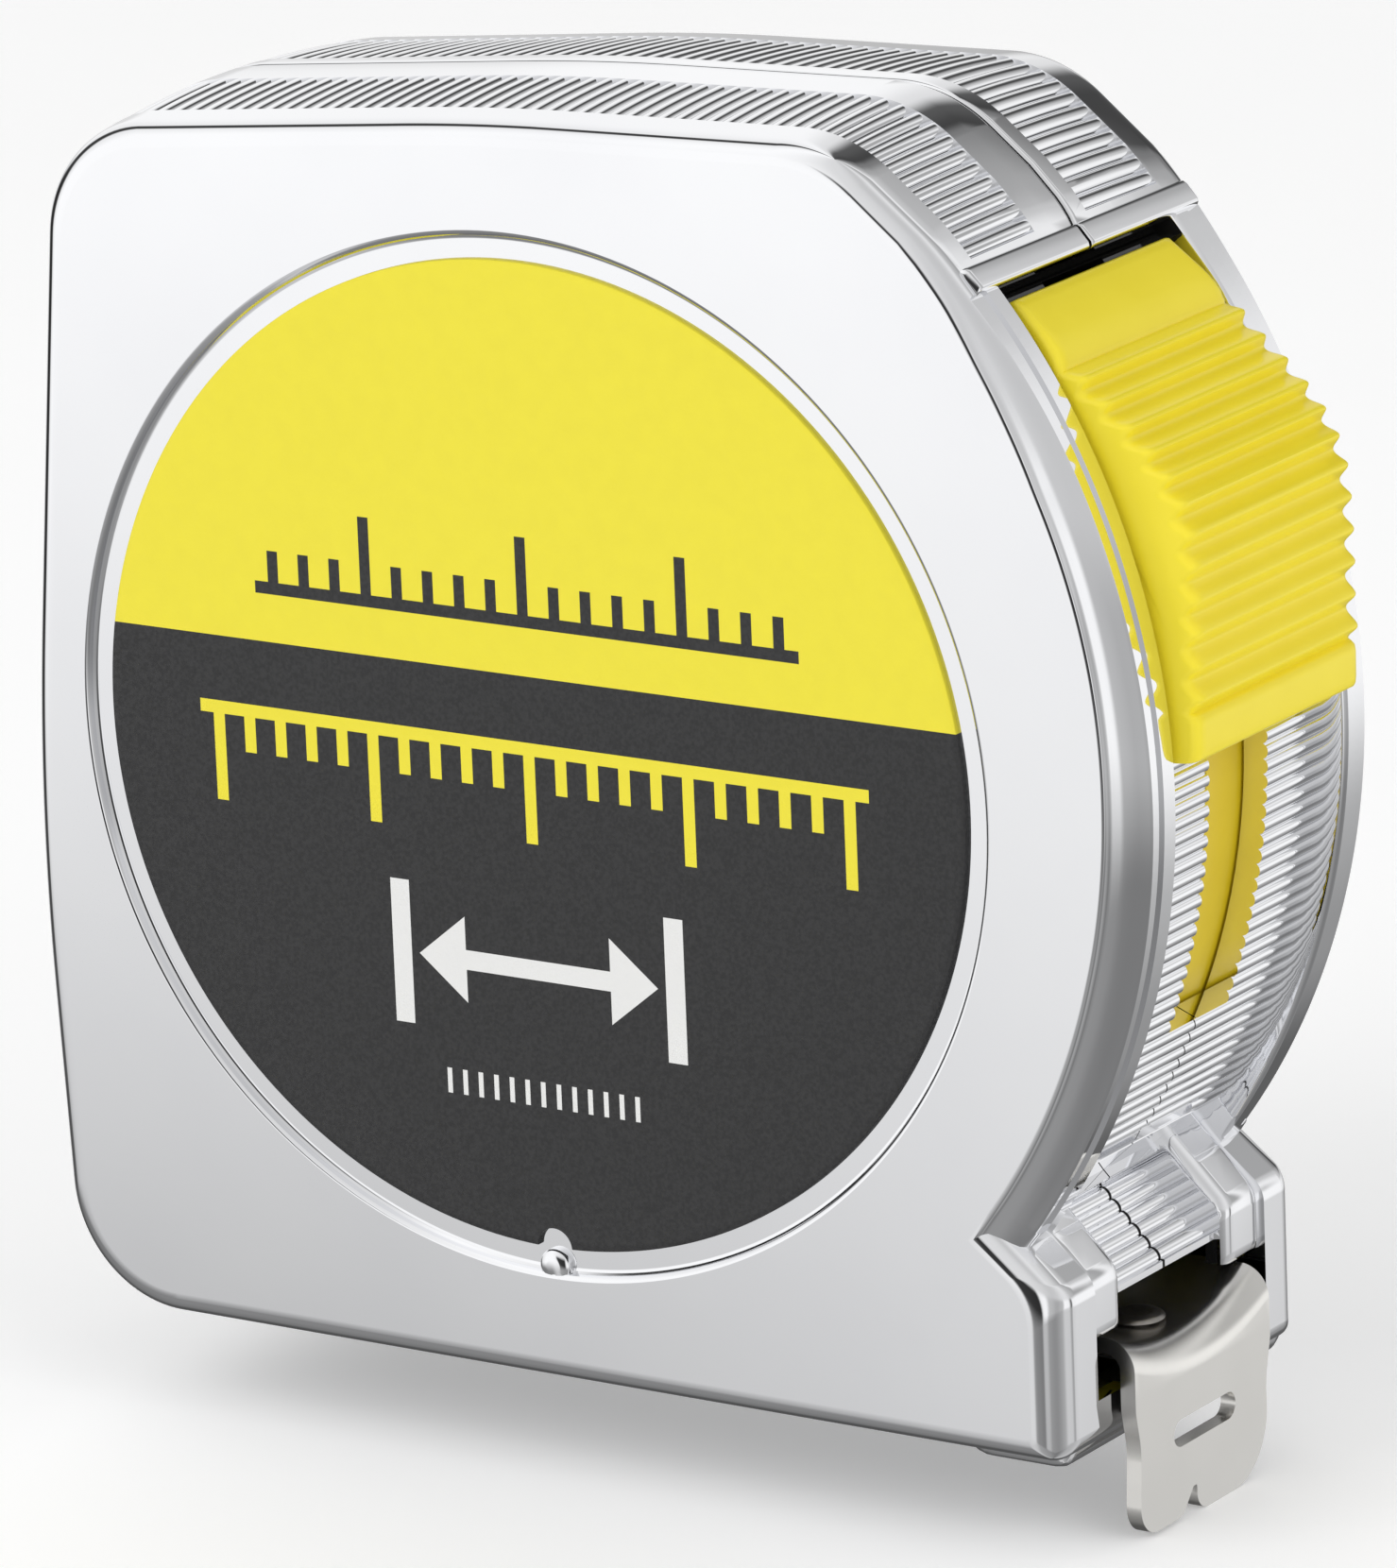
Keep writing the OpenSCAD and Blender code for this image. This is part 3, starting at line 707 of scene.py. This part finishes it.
def screw(name, x, z, tail, seat, head_r, head_h):
    """A shaft along y and a domed head with a crossed slot; seat is the underside of the head."""
    profile = [(0.85, tail), (1.08, tail + 0.25), (1.08, seat - 0.02), (head_r - 0.12, seat),
               (head_r, seat + 0.12), (head_r, seat + head_h * 0.4)]
    for t in (15, 30, 45, 60, 72, 82):
        c, s = math.cos(math.radians(t)), math.sin(math.radians(t))
        profile.append((head_r * c, seat + head_h * (0.4 + 0.6 * s)))
    obj = turned(name, profile, x, z, 48)
    return combine(obj, cross_recess(head_r * 0.62, seat + head_h * 0.45, seat + head_h + 0.1, x, z))


def case_screw_set():
    first, *others = [screw("case_screw_set", x, z, -7.4, HALF_T - 1.58, 1.86, 1.15) for x, z in SCREWS]
    for other in others:
        combine(first, other, "UNION")
    return first


def clip_path(low, high, thick):
    """(y, z) along the strip's middle: up the case, over the top and down the finger to its flared end."""
    base_y, finger_y = low.y + thick / 2, high.y - thick / 2
    bend = (finger_y - base_y) / 2
    top_z = high.z - (high.y - low.y) / 2
    foot_z, finger_z = 38.05, 22
    path = [(base_y, z) for z in evenly(foot_z, top_z, 8)[:-1]]
    for a in range(0, 181, 9):
        t = math.radians(a)
        path.append(((base_y + finger_y) / 2 - bend * math.cos(t), top_z + bend * math.sin(t)))
    path += [(finger_y, z) for z in evenly(top_z, finger_z, 8)[1:-1]]
    leave, touch, end = (finger_y, 19), (finger_y - 1.3, 13.5), (finger_y - 0.05, low.z + 0.1)
    path += round_corner(path[-1], leave, touch, 9, 6)
    return path + round_corner(leave, touch, end, 4, 8) + [end]


def formed_clip():
    """A spring-steel strip bent over at the top, with eased edges and a rounded, flared end."""
    low, high = box_mm("belt_clip")
    thick = 0.9
    middle = clip_path(low, high, thick)
    half = (high.x - low.x) / 2
    # (x, how far each surface is eased in there)
    rows = [(half, 0.3), (half - 0.06, 0.14), (half - 0.16, 0.05), (half - 0.3, 0.0)]
    rings = []
    for x, e in rows + [(-x, e) for x, e in rows[::-1]]:
        one, other = [], []
        for i, (y, z) in enumerate(middle):
            (ay, az), (by, bz) = middle[max(i - 1, 0)], middle[min(i + 1, len(middle) - 1)]
            ty, tz = unit((by - ay, bz - az))
            d = thick / 2 - e
            one.append((x, y - tz * d, z + ty * d))
            other.append((x, y + tz * d, z - ty * d))
        rings.append(one + other[::-1])
    clip = loft("belt_clip_formed", rings)
    end_z = low.z + 0.06
    end = [(-half - 1, 70), (-half - 1, 16)]
    end += round_corner((-half, 16), (-half, end_z), (0, end_z), 3.6, 14)
    end += round_corner((0, end_z), (half, end_z), (half, 16), 3.6, 14) + [(half + 1, 16), (half + 1, 70)]
    combine(clip, along_y("clip_end", end, (low.y - 1, high.y + 1)), "INTERSECT")
    for r, y0, y1, n in ((1.2, HALF_T - 1, HALF_T + 2, 40), (2.6, HALF_T + 2, high.y + 1, 64)):
        combine(clip, turned("clip_hole", [(r, y0), (r, y1)], 0, CLIP_SCREW_Z, n))
    return clip


def hook_rivet_pair():
    low, high = box_mm("hook_rivets")
    tail = [(1.3, 0), (1.5, 0.05), (1.5, 0.18), (RIVET_SHAFT_R, 0.2)]
    # (radius, distance below the top), up to the dimple in the head
    head = [(RIVET_SHAFT_R, 0.42), (1.5, 0.4), (1.6, 0.32), (1.56, 0.22), (1.36, 0.1), (1.0, 0.02), (0.9, 0),
            (0.78, 0.03), (0.6, 0.1)]
    profile = [(r, low.z + up) for r, up in tail] + [(r, high.z - down) for r, down in head]
    one, other = (turned_z("hook_rivet_pair", profile, x) for x in RIVET_X)
    return combine(one, other, "UNION")


label = polish(label_print(), 50)
lock = polish(thumb_lock(), 40)
hook = polish(hook_plate(), 40)
screws = polish(case_screw_set(), 40)
clip_screw = polish(screw("clip_screw_cross", 0, CLIP_SCREW_Z, 8.05, HALF_T + 0.92, 2.06, 1.05), 40)
clip = polish(formed_clip(), 40)
rivets = polish(hook_rivet_pair(), 45)

# ---------- Materials ----------


def material(name, color, metallic, roughness):
    """A node material; returns it with its tree, shader and object coordinates."""
    made = bpy.data.materials.new(name)
    made.use_nodes = True
    tree = made.node_tree
    shader = tree.nodes["Principled BSDF"]
    shader.inputs["Base Color"].default_value = (*color, 1)
    shader.inputs["Metallic"].default_value = metallic
    shader.inputs["Roughness"].default_value = roughness
    where = tree.nodes.new("ShaderNodeTexCoord").outputs["Object"]
    return made, tree, shader, where


def noise(tree, where, scale, detail=2.0):
    node = tree.nodes.new("ShaderNodeTexNoise")
    node.inputs["Scale"].default_value = scale
    node.inputs["Detail"].default_value = detail
    tree.links.new(where, node.inputs["Vector"])
    return node.outputs["Fac"]


def math_node(tree, operation, *values):
    node = tree.nodes.new("ShaderNodeMath")
    node.operation = operation
    for socket, value in zip(node.inputs, values):
        if isinstance(value, (int, float)):
            socket.default_value = value
        else:
            tree.links.new(value, socket)
    return node.outputs[0]


def spread(tree, fac, low, high):
    """Maps a noise value to the range low to high."""
    node = tree.nodes.new("ShaderNodeMapRange")
    for key, value in (("From Min", 0.3), ("From Max", 0.7), ("To Min", low), ("To Max", high)):
        node.inputs[key].default_value = value
    tree.links.new(fac, node.inputs["Value"])
    return node.outputs["Result"]


def blend_colors(tree, fac, a, b):
    node = tree.nodes.new("ShaderNodeMix")
    node.data_type = "RGBA"
    tree.links.new(fac, node.inputs[0])
    for i, value in ((6, a), (7, b)):
        if isinstance(value, tuple):
            node.inputs[i].default_value = (*value, 1)
        else:
            tree.links.new(value, node.inputs[i])
    return node.outputs[2]


def bump(tree, shader, height, distance):
    node = tree.nodes.new("ShaderNodeBump")
    node.inputs["Distance"].default_value = distance
    node.inputs["Strength"].default_value = 1.0
    tree.links.new(height, node.inputs["Height"])
    tree.links.new(node.outputs["Normal"], shader.inputs["Normal"])


def textured(name, color, dark, metallic, rough, size, relief=0):
    """Colour between two shades, roughness within a range and fine relief, all from noise."""
    made, tree, shader, where = material(name, color, metallic, rough[0])
    coarse = noise(tree, where, 1000 / size, 3.0)
    fine = noise(tree, where, 6000 / size)
    tree.links.new(blend_colors(tree, spread(tree, coarse, 0, 1), color, dark), shader.inputs["Base Color"])
    tree.links.new(spread(tree, fine, *rough), shader.inputs["Roughness"])
    if relief:
        bump(tree, shader, fine, relief * MM)
    return made


def axes_mm(tree):
    """The object coordinates in millimetres."""
    split = tree.nodes.new("ShaderNodeSeparateXYZ")
    tree.links.new(tree.nodes.new("ShaderNodeTexCoord").outputs["Object"], split.inputs[0])
    return [math_node(tree, "MULTIPLY", split.outputs[axis], 1 / MM) for axis in "XYZ"]


def range_mask(tree, *ranges):
    """1 where every value lies within its range."""
    mask = None
    for value, a, b in ranges:
        away = math_node(tree, "ABSOLUTE", math_node(tree, "SUBTRACT", value, (a + b) / 2))
        within = math_node(tree, "LESS_THAN", away, (b - a) / 2)
        mask = within if mask is None else math_node(tree, "MULTIPLY", mask, within)
    return mask


def paint_shade(made, mask):
    """Paints shade on a metal: turns it dark and dull where the mask is 1."""
    tree = made.node_tree
    shader = tree.nodes["Principled BSDF"]
    plating = shader.inputs["Base Color"].links[0].from_socket
    tree.links.new(blend_colors(tree, mask, plating, (0.012, 0.012, 0.012)), shader.inputs["Base Color"])
    metal = math_node(tree, "SUBTRACT", 1.0, mask)
    if shader.inputs["Metallic"].links:
        metal = math_node(tree, "MULTIPLY", shader.inputs["Metallic"].links[0].from_socket, metal)
    tree.links.new(metal, shader.inputs["Metallic"])


def chrome():
    """Bright plating, with painted shade on the mouth's walls, in the gap at the seam and in the gap under
    the ledge.
    """
    made = textured("chrome_case", (0.93, 0.935, 0.95), (0.9, 0.905, 0.925), 1.0, (0.02, 0.05), 14, 0.0004)
    tree = made.node_tree
    x, y, z = axes_mm(tree)
    # Painted shade inside the mouth, then along stretches of the seam between the halves
    for across, half_width, upwards in (
        ((20, NOSE_X - 1), 8.7, (0.95, 7.2)),
        ((-50, 18), SEAM_SHADE_HALF, (-5, 80)),
        ((18, 40), SEAM_SHADE_HALF, (57, 80)),
        ((26.5, 34), SEAM_SHADE_HALF, (6.5, 11.2)),
    ):
        paint_shade(made, range_mask(tree, (x, *across), (y, -half_width, half_width), (z, *upwards)))
    out = math_node(tree, "SUBTRACT", x, CX)
    up = math_node(tree, "SUBTRACT", z, CZ)
    squares = math_node(tree, "MULTIPLY_ADD", out, out, math_node(tree, "MULTIPLY", up, up))
    radius = math_node(tree, "SQRT", squares)
    angle = math_node(tree, "ARCTAN2", up, out)
    # Painted shade in the gap under the ledge, above the thumb pad
    paint_shade(made, range_mask(
        tree,
        (angle, math.radians(GAP_LOW_A - 0.6), math.radians(GAP_HIGH_A + 0.2)),
        (radius, TRACK_R - 2, FRONT_R - 0.32),
        (y, -TRACK_Y - 0.1, TRACK_Y + 0.1),
    ))
    return made


def scale_marks(tree, x, z, reach, base, tall, half_width):
    """A line and its upright marks, every 2 mm and taller every 10 mm; a negative height hangs down."""
    drawn = range_mask(tree, (x, -reach, reach), (z, base - half_width, base + half_width))
    for pitch, share in ((2.0, 0.45), (10.0, 1.0)):
        marks = ticks(tree, x, z, pitch, half_width, reach, *sorted((base, base + tall * share)))
        drawn = math_node(tree, "MAXIMUM", drawn, marks)
    return drawn


def ticks(tree, x, z, pitch, half_width, reach, low, high):
    """Upright marks every pitch, centred on multiples of it."""
    mark = math_node(tree, "LESS_THAN", math_node(tree, "PINGPONG", x, pitch / 2), half_width)
    return math_node(tree, "MULTIPLY", mark, range_mask(tree, (x, -reach, reach), (z, low, high)))


def double_arrow(tree, x, z, middle_z):
    """A shaft with two heads between two upright stops."""
    out = math_node(tree, "ABSOLUTE", x)
    up = math_node(tree, "ABSOLUTE", math_node(tree, "SUBTRACT", z, middle_z))
    shaft = range_mask(tree, (x, -5.2, 5.2), (up, -0.55, 0.55))
    from_tip = math_node(tree, "SUBTRACT", 7.6, out)
    taper = math_node(tree, "LESS_THAN", up, math_node(tree, "MULTIPLY", from_tip, 0.8))
    head = math_node(tree, "MULTIPLY", taper, range_mask(tree, (from_tip, 0, 3.0)))
    stop = range_mask(tree, (out, 8.1, 9.3), (up, -4.0, 4.0))
    return math_node(tree, "MAXIMUM", math_node(tree, "MAXIMUM", shaft, head), stop)


def label_material():
    """Yellow above a level line and charcoal below, with plain scale marks and a double arrow."""
    made, tree, shader, where = material("label", YELLOW, 0.0, 0.45)
    x, _, height = axes_mm(tree)
    z = math_node(tree, "SUBTRACT", height, SPOOL_Z)
    speckle = spread(tree, noise(tree, where, 5000, 1.0), 0, 1)
    cloud = spread(tree, noise(tree, where, 900, 3.0), 0, 1)
    charcoal = blend_colors(tree, speckle, (0.034, 0.034, 0.035), (0.024, 0.024, 0.025))
    yellow = blend_colors(tree, cloud, YELLOW, (0.85, 0.74, 0.035))
    color = blend_colors(tree, math_node(tree, "GREATER_THAN", z, 4.6), charcoal, yellow)
    color = blend_colors(tree, scale_marks(tree, x, z, 17.2, 7.6, 4.6, 0.34), color, charcoal)
    color = blend_colors(tree, scale_marks(tree, x, z, 21.2, 0.6, -5.2, 0.36), color, yellow)
    small = ticks(tree, x, z, 1.0, 0.15, 6.2, -19.2, -17.8)
    pale = math_node(tree, "MAXIMUM", double_arrow(tree, x, z, -11.6), small)
    color = blend_colors(tree, pale, color, (0.8, 0.8, 0.79))
    tree.links.new(color, shader.inputs["Base Color"])
    tree.links.new(spread(tree, speckle, 0.42, 0.52), shader.inputs["Roughness"])
    bump(tree, shader, speckle, 0.003 * MM)
    return made


def blade_material():
    """Yellow lacquer with black millimetre marks from both edges, counted back from the hook."""
    made, tree, shader, where = material("blade_lacquer", YELLOW, 0.0, 0.35)
    x, y, _ = axes_mm(tree)
    along = math_node(tree, "SUBTRACT", HOOK_HIGH.x - HOOK_THICK, x)
    across = math_node(tree, "ABSOLUTE", y)
    drawn = math_node(tree, "GREATER_THAN", across, BLADE_HIGH.y - 0.2)
    for pitch, width, from_middle in ((1.0, 0.16, 4.6), (5.0, 0.2, 3.6), (10.0, 0.26, 1.2)):
        mark = math_node(tree, "LESS_THAN", math_node(tree, "PINGPONG", along, pitch / 2), width / 2)
        mark = math_node(tree, "MULTIPLY", mark, math_node(tree, "GREATER_THAN", across, from_middle))
        drawn = math_node(tree, "MAXIMUM", drawn, mark)
    yellow = blend_colors(tree, spread(tree, noise(tree, where, 700, 3.0), 0, 1), YELLOW, (0.83, 0.71, 0.03))
    tree.links.new(blend_colors(tree, drawn, yellow, (0.02, 0.02, 0.02)), shader.inputs["Base Color"])
    tree.links.new(spread(tree, noise(tree, where, 2500), 0.3, 0.4), shader.inputs["Roughness"])
    return made


YELLOW = (0.87, 0.76, 0.035)
# Half width of the painted shade along the seam
SEAM_SHADE_HALF = 0.13
CHROME = chrome()
LABEL = label_material()
BLADE = blade_material()
# name, colour, darker colour, metal, roughness range, grain in mm, relief in mm
LOCK_YELLOW = textured("lock_yellow", (0.96, 0.80, 0.035), (0.94, 0.78, 0.03), 0.0, (0.28, 0.3), 3)
# Painted shade: the lock's yellow made darker for the tongue that sits down in the slot
SHADED_TONGUE_YELLOW = textured("tongue_yellow", (0.80, 0.60, 0.02), (0.76, 0.56, 0.015), 0.0, (0.3, 0.34), 3)
HOOK_NICKEL = textured("hook_nickel", (0.90, 0.885, 0.85), (0.87, 0.855, 0.82), 1.0, (0.25, 0.27), 5)
RUBBER = textured("rubber", (0.03, 0.03, 0.03), (0.02, 0.02, 0.02), 0.0, (0.6, 0.75), 1.5, 0.01)
DRUM = textured("drum_plastic", (0.05, 0.05, 0.05), (0.035, 0.035, 0.035), 0.0, (0.4, 0.5), 3, 0.006)
SPRING = textured("spring_steel", (0.28, 0.32, 0.42), (0.2, 0.23, 0.34), 1.0, (0.25, 0.35), 3, 0.003)
STEEL = textured("turned_steel", (0.62, 0.62, 0.62), (0.55, 0.55, 0.55), 1.0, (0.25, 0.38), 2, 0.004)
NATURAL = textured("natural_plastic", (0.78, 0.77, 0.73), (0.72, 0.71, 0.66), 0.0, (0.45, 0.55), 4, 0.004)
CLIP_STEEL = textured("clip_steel", (0.82, 0.825, 0.84), (0.78, 0.785, 0.8), 1.0, (0.12, 0.2), 6, 0.0006)
RIVET = textured("rivet_steel", (0.42, 0.4, 0.37), (0.33, 0.31, 0.29), 1.0, (0.3, 0.45), 1, 0.004)

for node, finish in {
    "blade_end": BLADE, "blade_outer_turn": BLADE, "blade_coil": BLADE, "lock_tongue": SHADED_TONGUE_YELLOW,
    "brake_shoe": RUBBER, "mouth_bumper": RUBBER, "spool_drum": DRUM, "spool_cover": DRUM,
    "power_spring": SPRING, "spool_arbor": STEEL, "friction_discs": NATURAL,
}.items():
    mesh = frame["nodes"][node].data
    mesh.materials.clear()
    mesh.materials.append(finish)

piece(front, "case", CHROME, "front_shell")
piece(rear, "case", CHROME, "rear_shell")
piece(label, "case", LABEL, "label_disc")
piece(lock, "lock", LOCK_YELLOW, "lock_button")
piece(hook, "hook", HOOK_NICKEL, "end_hook")
piece(screws, "case", STEEL, "case_screws")
piece(clip_screw, "case", STEEL, "clip_screw")
piece(clip, "case", CLIP_STEEL, "belt_clip")
piece(rivets, "blade", RIVET, "hook_rivets")

# ---------- Camera, floor and light ----------

AZIMUTH, ELEVATION, ROLL = math.radians(33.476), math.radians(15.848), math.radians(-2.2863)
DISTANCE = 598.4
AIM = Vector((0, -11.9, 34.4))
back = Vector((
    math.sin(AZIMUTH) * math.cos(ELEVATION), -math.cos(AZIMUTH) * math.cos(ELEVATION), math.sin(ELEVATION)))
level = Vector((math.cos(AZIMUTH), math.sin(AZIMUTH), 0))
rise = back.cross(level)
right = level * math.cos(ROLL) + rise * math.sin(ROLL)
up = rise * math.cos(ROLL) - level * math.sin(ROLL)
place = AIM + right * 8.956 - up * 1.239 + back * DISTANCE
camera = bpy.data.objects.new("camera", bpy.data.cameras.new("camera"))
camera.data.lens = 260.24
camera.data.sensor_width = 36
camera.data.clip_start, camera.data.clip_end = 0.05, 50
turn = Matrix((right, up, back)).transposed().to_4x4()
camera.matrix_world = Matrix.Translation(place * MM) @ turn
bpy.context.scene.collection.objects.link(camera)
bpy.context.scene.camera = camera
bpy.context.scene.view_settings.view_transform = "Standard"


def floor_material():
    made, tree, shader, where = material("floor", (0.96, 0.96, 0.96), 0.0, 0.8)
    color = blend_colors(tree, noise(tree, where, 30), (0.97, 0.97, 0.97), (0.95, 0.95, 0.95))
    tree.links.new(color, shader.inputs["Base Color"])
    shader.inputs["Emission Color"].default_value = (1, 1, 1, 1)
    shader.inputs["Emission Strength"].default_value = 0.2
    return made


FLOOR_REACH = 4
floor_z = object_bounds()[0].z
floor_mesh = bpy.data.meshes.new("floor")
floor_mesh.from_pydata(
    [(x * FLOOR_REACH, y * FLOOR_REACH, floor_z) for x, y in ((-1, -1), (1, -1), (1, 1), (-1, 1))],
    [], [(0, 1, 2, 3)])
floor = bpy.data.objects.new("floor", floor_mesh)
bpy.context.scene.collection.objects.link(floor)
floor.data.materials.append(floor_material())
floor.visible_glossy = False

# The studio seen in the chrome: brightness by compass direction, for three bands of height.
LOW_BAND = [
    (-180, 0.6), (-152, 0.45), (-140, 0.75), (-114, 0.7), (-105, 0.03), (-78, 0.03), (-65, 0.9), (-50, 1.05),
    (-33, 1.05), (-27, 1.0), (-22, 0.04), (1, 0.03), (8, 0.95), (14, 1.0), (24, 0.52), (45, 0.42), (66, 0.5),
    (80, 1.0), (98, 0.95), (112, 0.12), (121, 0.95), (146, 1.0), (158, 0.9), (180, 0.6),
]
HIGH_BAND = [
    (-180, 0.06), (-168, 0.1), (-158, 0.8), (-146, 1.0), (-104, 0.9), (-96, 0.06), (-80, 0.04), (-70, 0.9),
    (-40, 1.05), (0, 0.75), (36, 0.6), (90, 0.8), (130, 0.5), (143, 0.4), (150, 0.9), (158, 0.6), (166, 0.4),
    (174, 0.2), (180, 0.06),
]
DOWN_BAND = [
    (-180, 0.12), (-150, 0.1), (-110, 0.08), (-60, 0.2), (-37, 0.24), (-30, 0.6), (-16, 0.35), (0, 0.3),
    (36, 0.2), (90, 0.45), (146, 0.55), (165, 0.3), (180, 0.12),
]


def band(tree, share, stops):
    """Brightness from (compass angle, value) stops; share runs from 0 to 1 round the compass."""
    node = tree.nodes.new("ShaderNodeValToRGB")
    ramp = node.color_ramp
    ramp.interpolation = "EASE"
    while len(ramp.elements) < len(stops):
        ramp.elements.new(0.5)
    for element, (angle, value) in zip(ramp.elements, stops):
        element.position = (angle + 180) / 360
        element.color = (value, value, value, 1)
    tree.links.new(share, node.inputs[0])
    return node.outputs["Color"]


def step_up(tree, height, low, high):
    """Rises smoothly from 0 to 1 between two heights."""
    node = tree.nodes.new("ShaderNodeMapRange")
    node.interpolation_type = "SMOOTHSTEP"
    node.inputs["From Min"].default_value = low
    node.inputs["From Max"].default_value = high
    tree.links.new(height, node.inputs["Value"])
    return node.outputs["Result"]


def studio():
    """A world of soft light and dark bands that only reflections show; the background itself is white."""
    world = bpy.data.worlds.new("studio")
    world.use_nodes = True
    tree = world.node_tree
    tree.nodes.clear()
    split = tree.nodes.new("ShaderNodeSeparateXYZ")
    tree.links.new(tree.nodes.new("ShaderNodeTexCoord").outputs["Generated"], split.inputs[0])
    x, y, z = (split.outputs[axis] for axis in "XYZ")
    compass = math_node(tree, "ARCTAN2", x, math_node(tree, "MULTIPLY", y, -1.0))
    share = math_node(tree, "MULTIPLY_ADD", compass, 1 / math.tau, 0.5)
    low, high, down = (band(tree, share, stops) for stops in (LOW_BAND, HIGH_BAND, DOWN_BAND))
    color = blend_colors(tree, step_up(tree, z, -0.40, -0.20), down, low)
    color = blend_colors(tree, step_up(tree, z, 0.0, 0.2), color, high)
    rays = tree.nodes.new("ShaderNodeLightPath")
    color = blend_colors(tree, rays.outputs["Is Camera Ray"], color, (1.0, 1.0, 1.0))
    background = tree.nodes.new("ShaderNodeBackground")
    tree.links.new(color, background.inputs["Color"])
    output = tree.nodes.new("ShaderNodeOutputWorld")
    tree.links.new(background.outputs[0], output.inputs[0])
    return world


def area_light(name, position, size, watts):
    """A square lamp aimed at the middle of the case, kept out of the reflections."""
    data = bpy.data.lights.new(name, "AREA")
    data.shape = "RECTANGLE"
    data.size, data.size_y = size, size
    data.energy = watts
    lamp = bpy.data.objects.new(name, data)
    lamp.location = position
    lamp.rotation_mode = "QUATERNION"
    lamp.rotation_quaternion = (Vector(position) - Vector((0, 0, 0.034))).to_track_quat("Z", "Y")
    lamp.visible_glossy = False
    bpy.context.scene.collection.objects.link(lamp)


bpy.context.scene.world = studio()
area_light("key", (-0.35, -0.75, 0.7), 0.6, 2.2)
area_light("fill", (0.8, -0.3, 0.5), 0.6, 1.3)
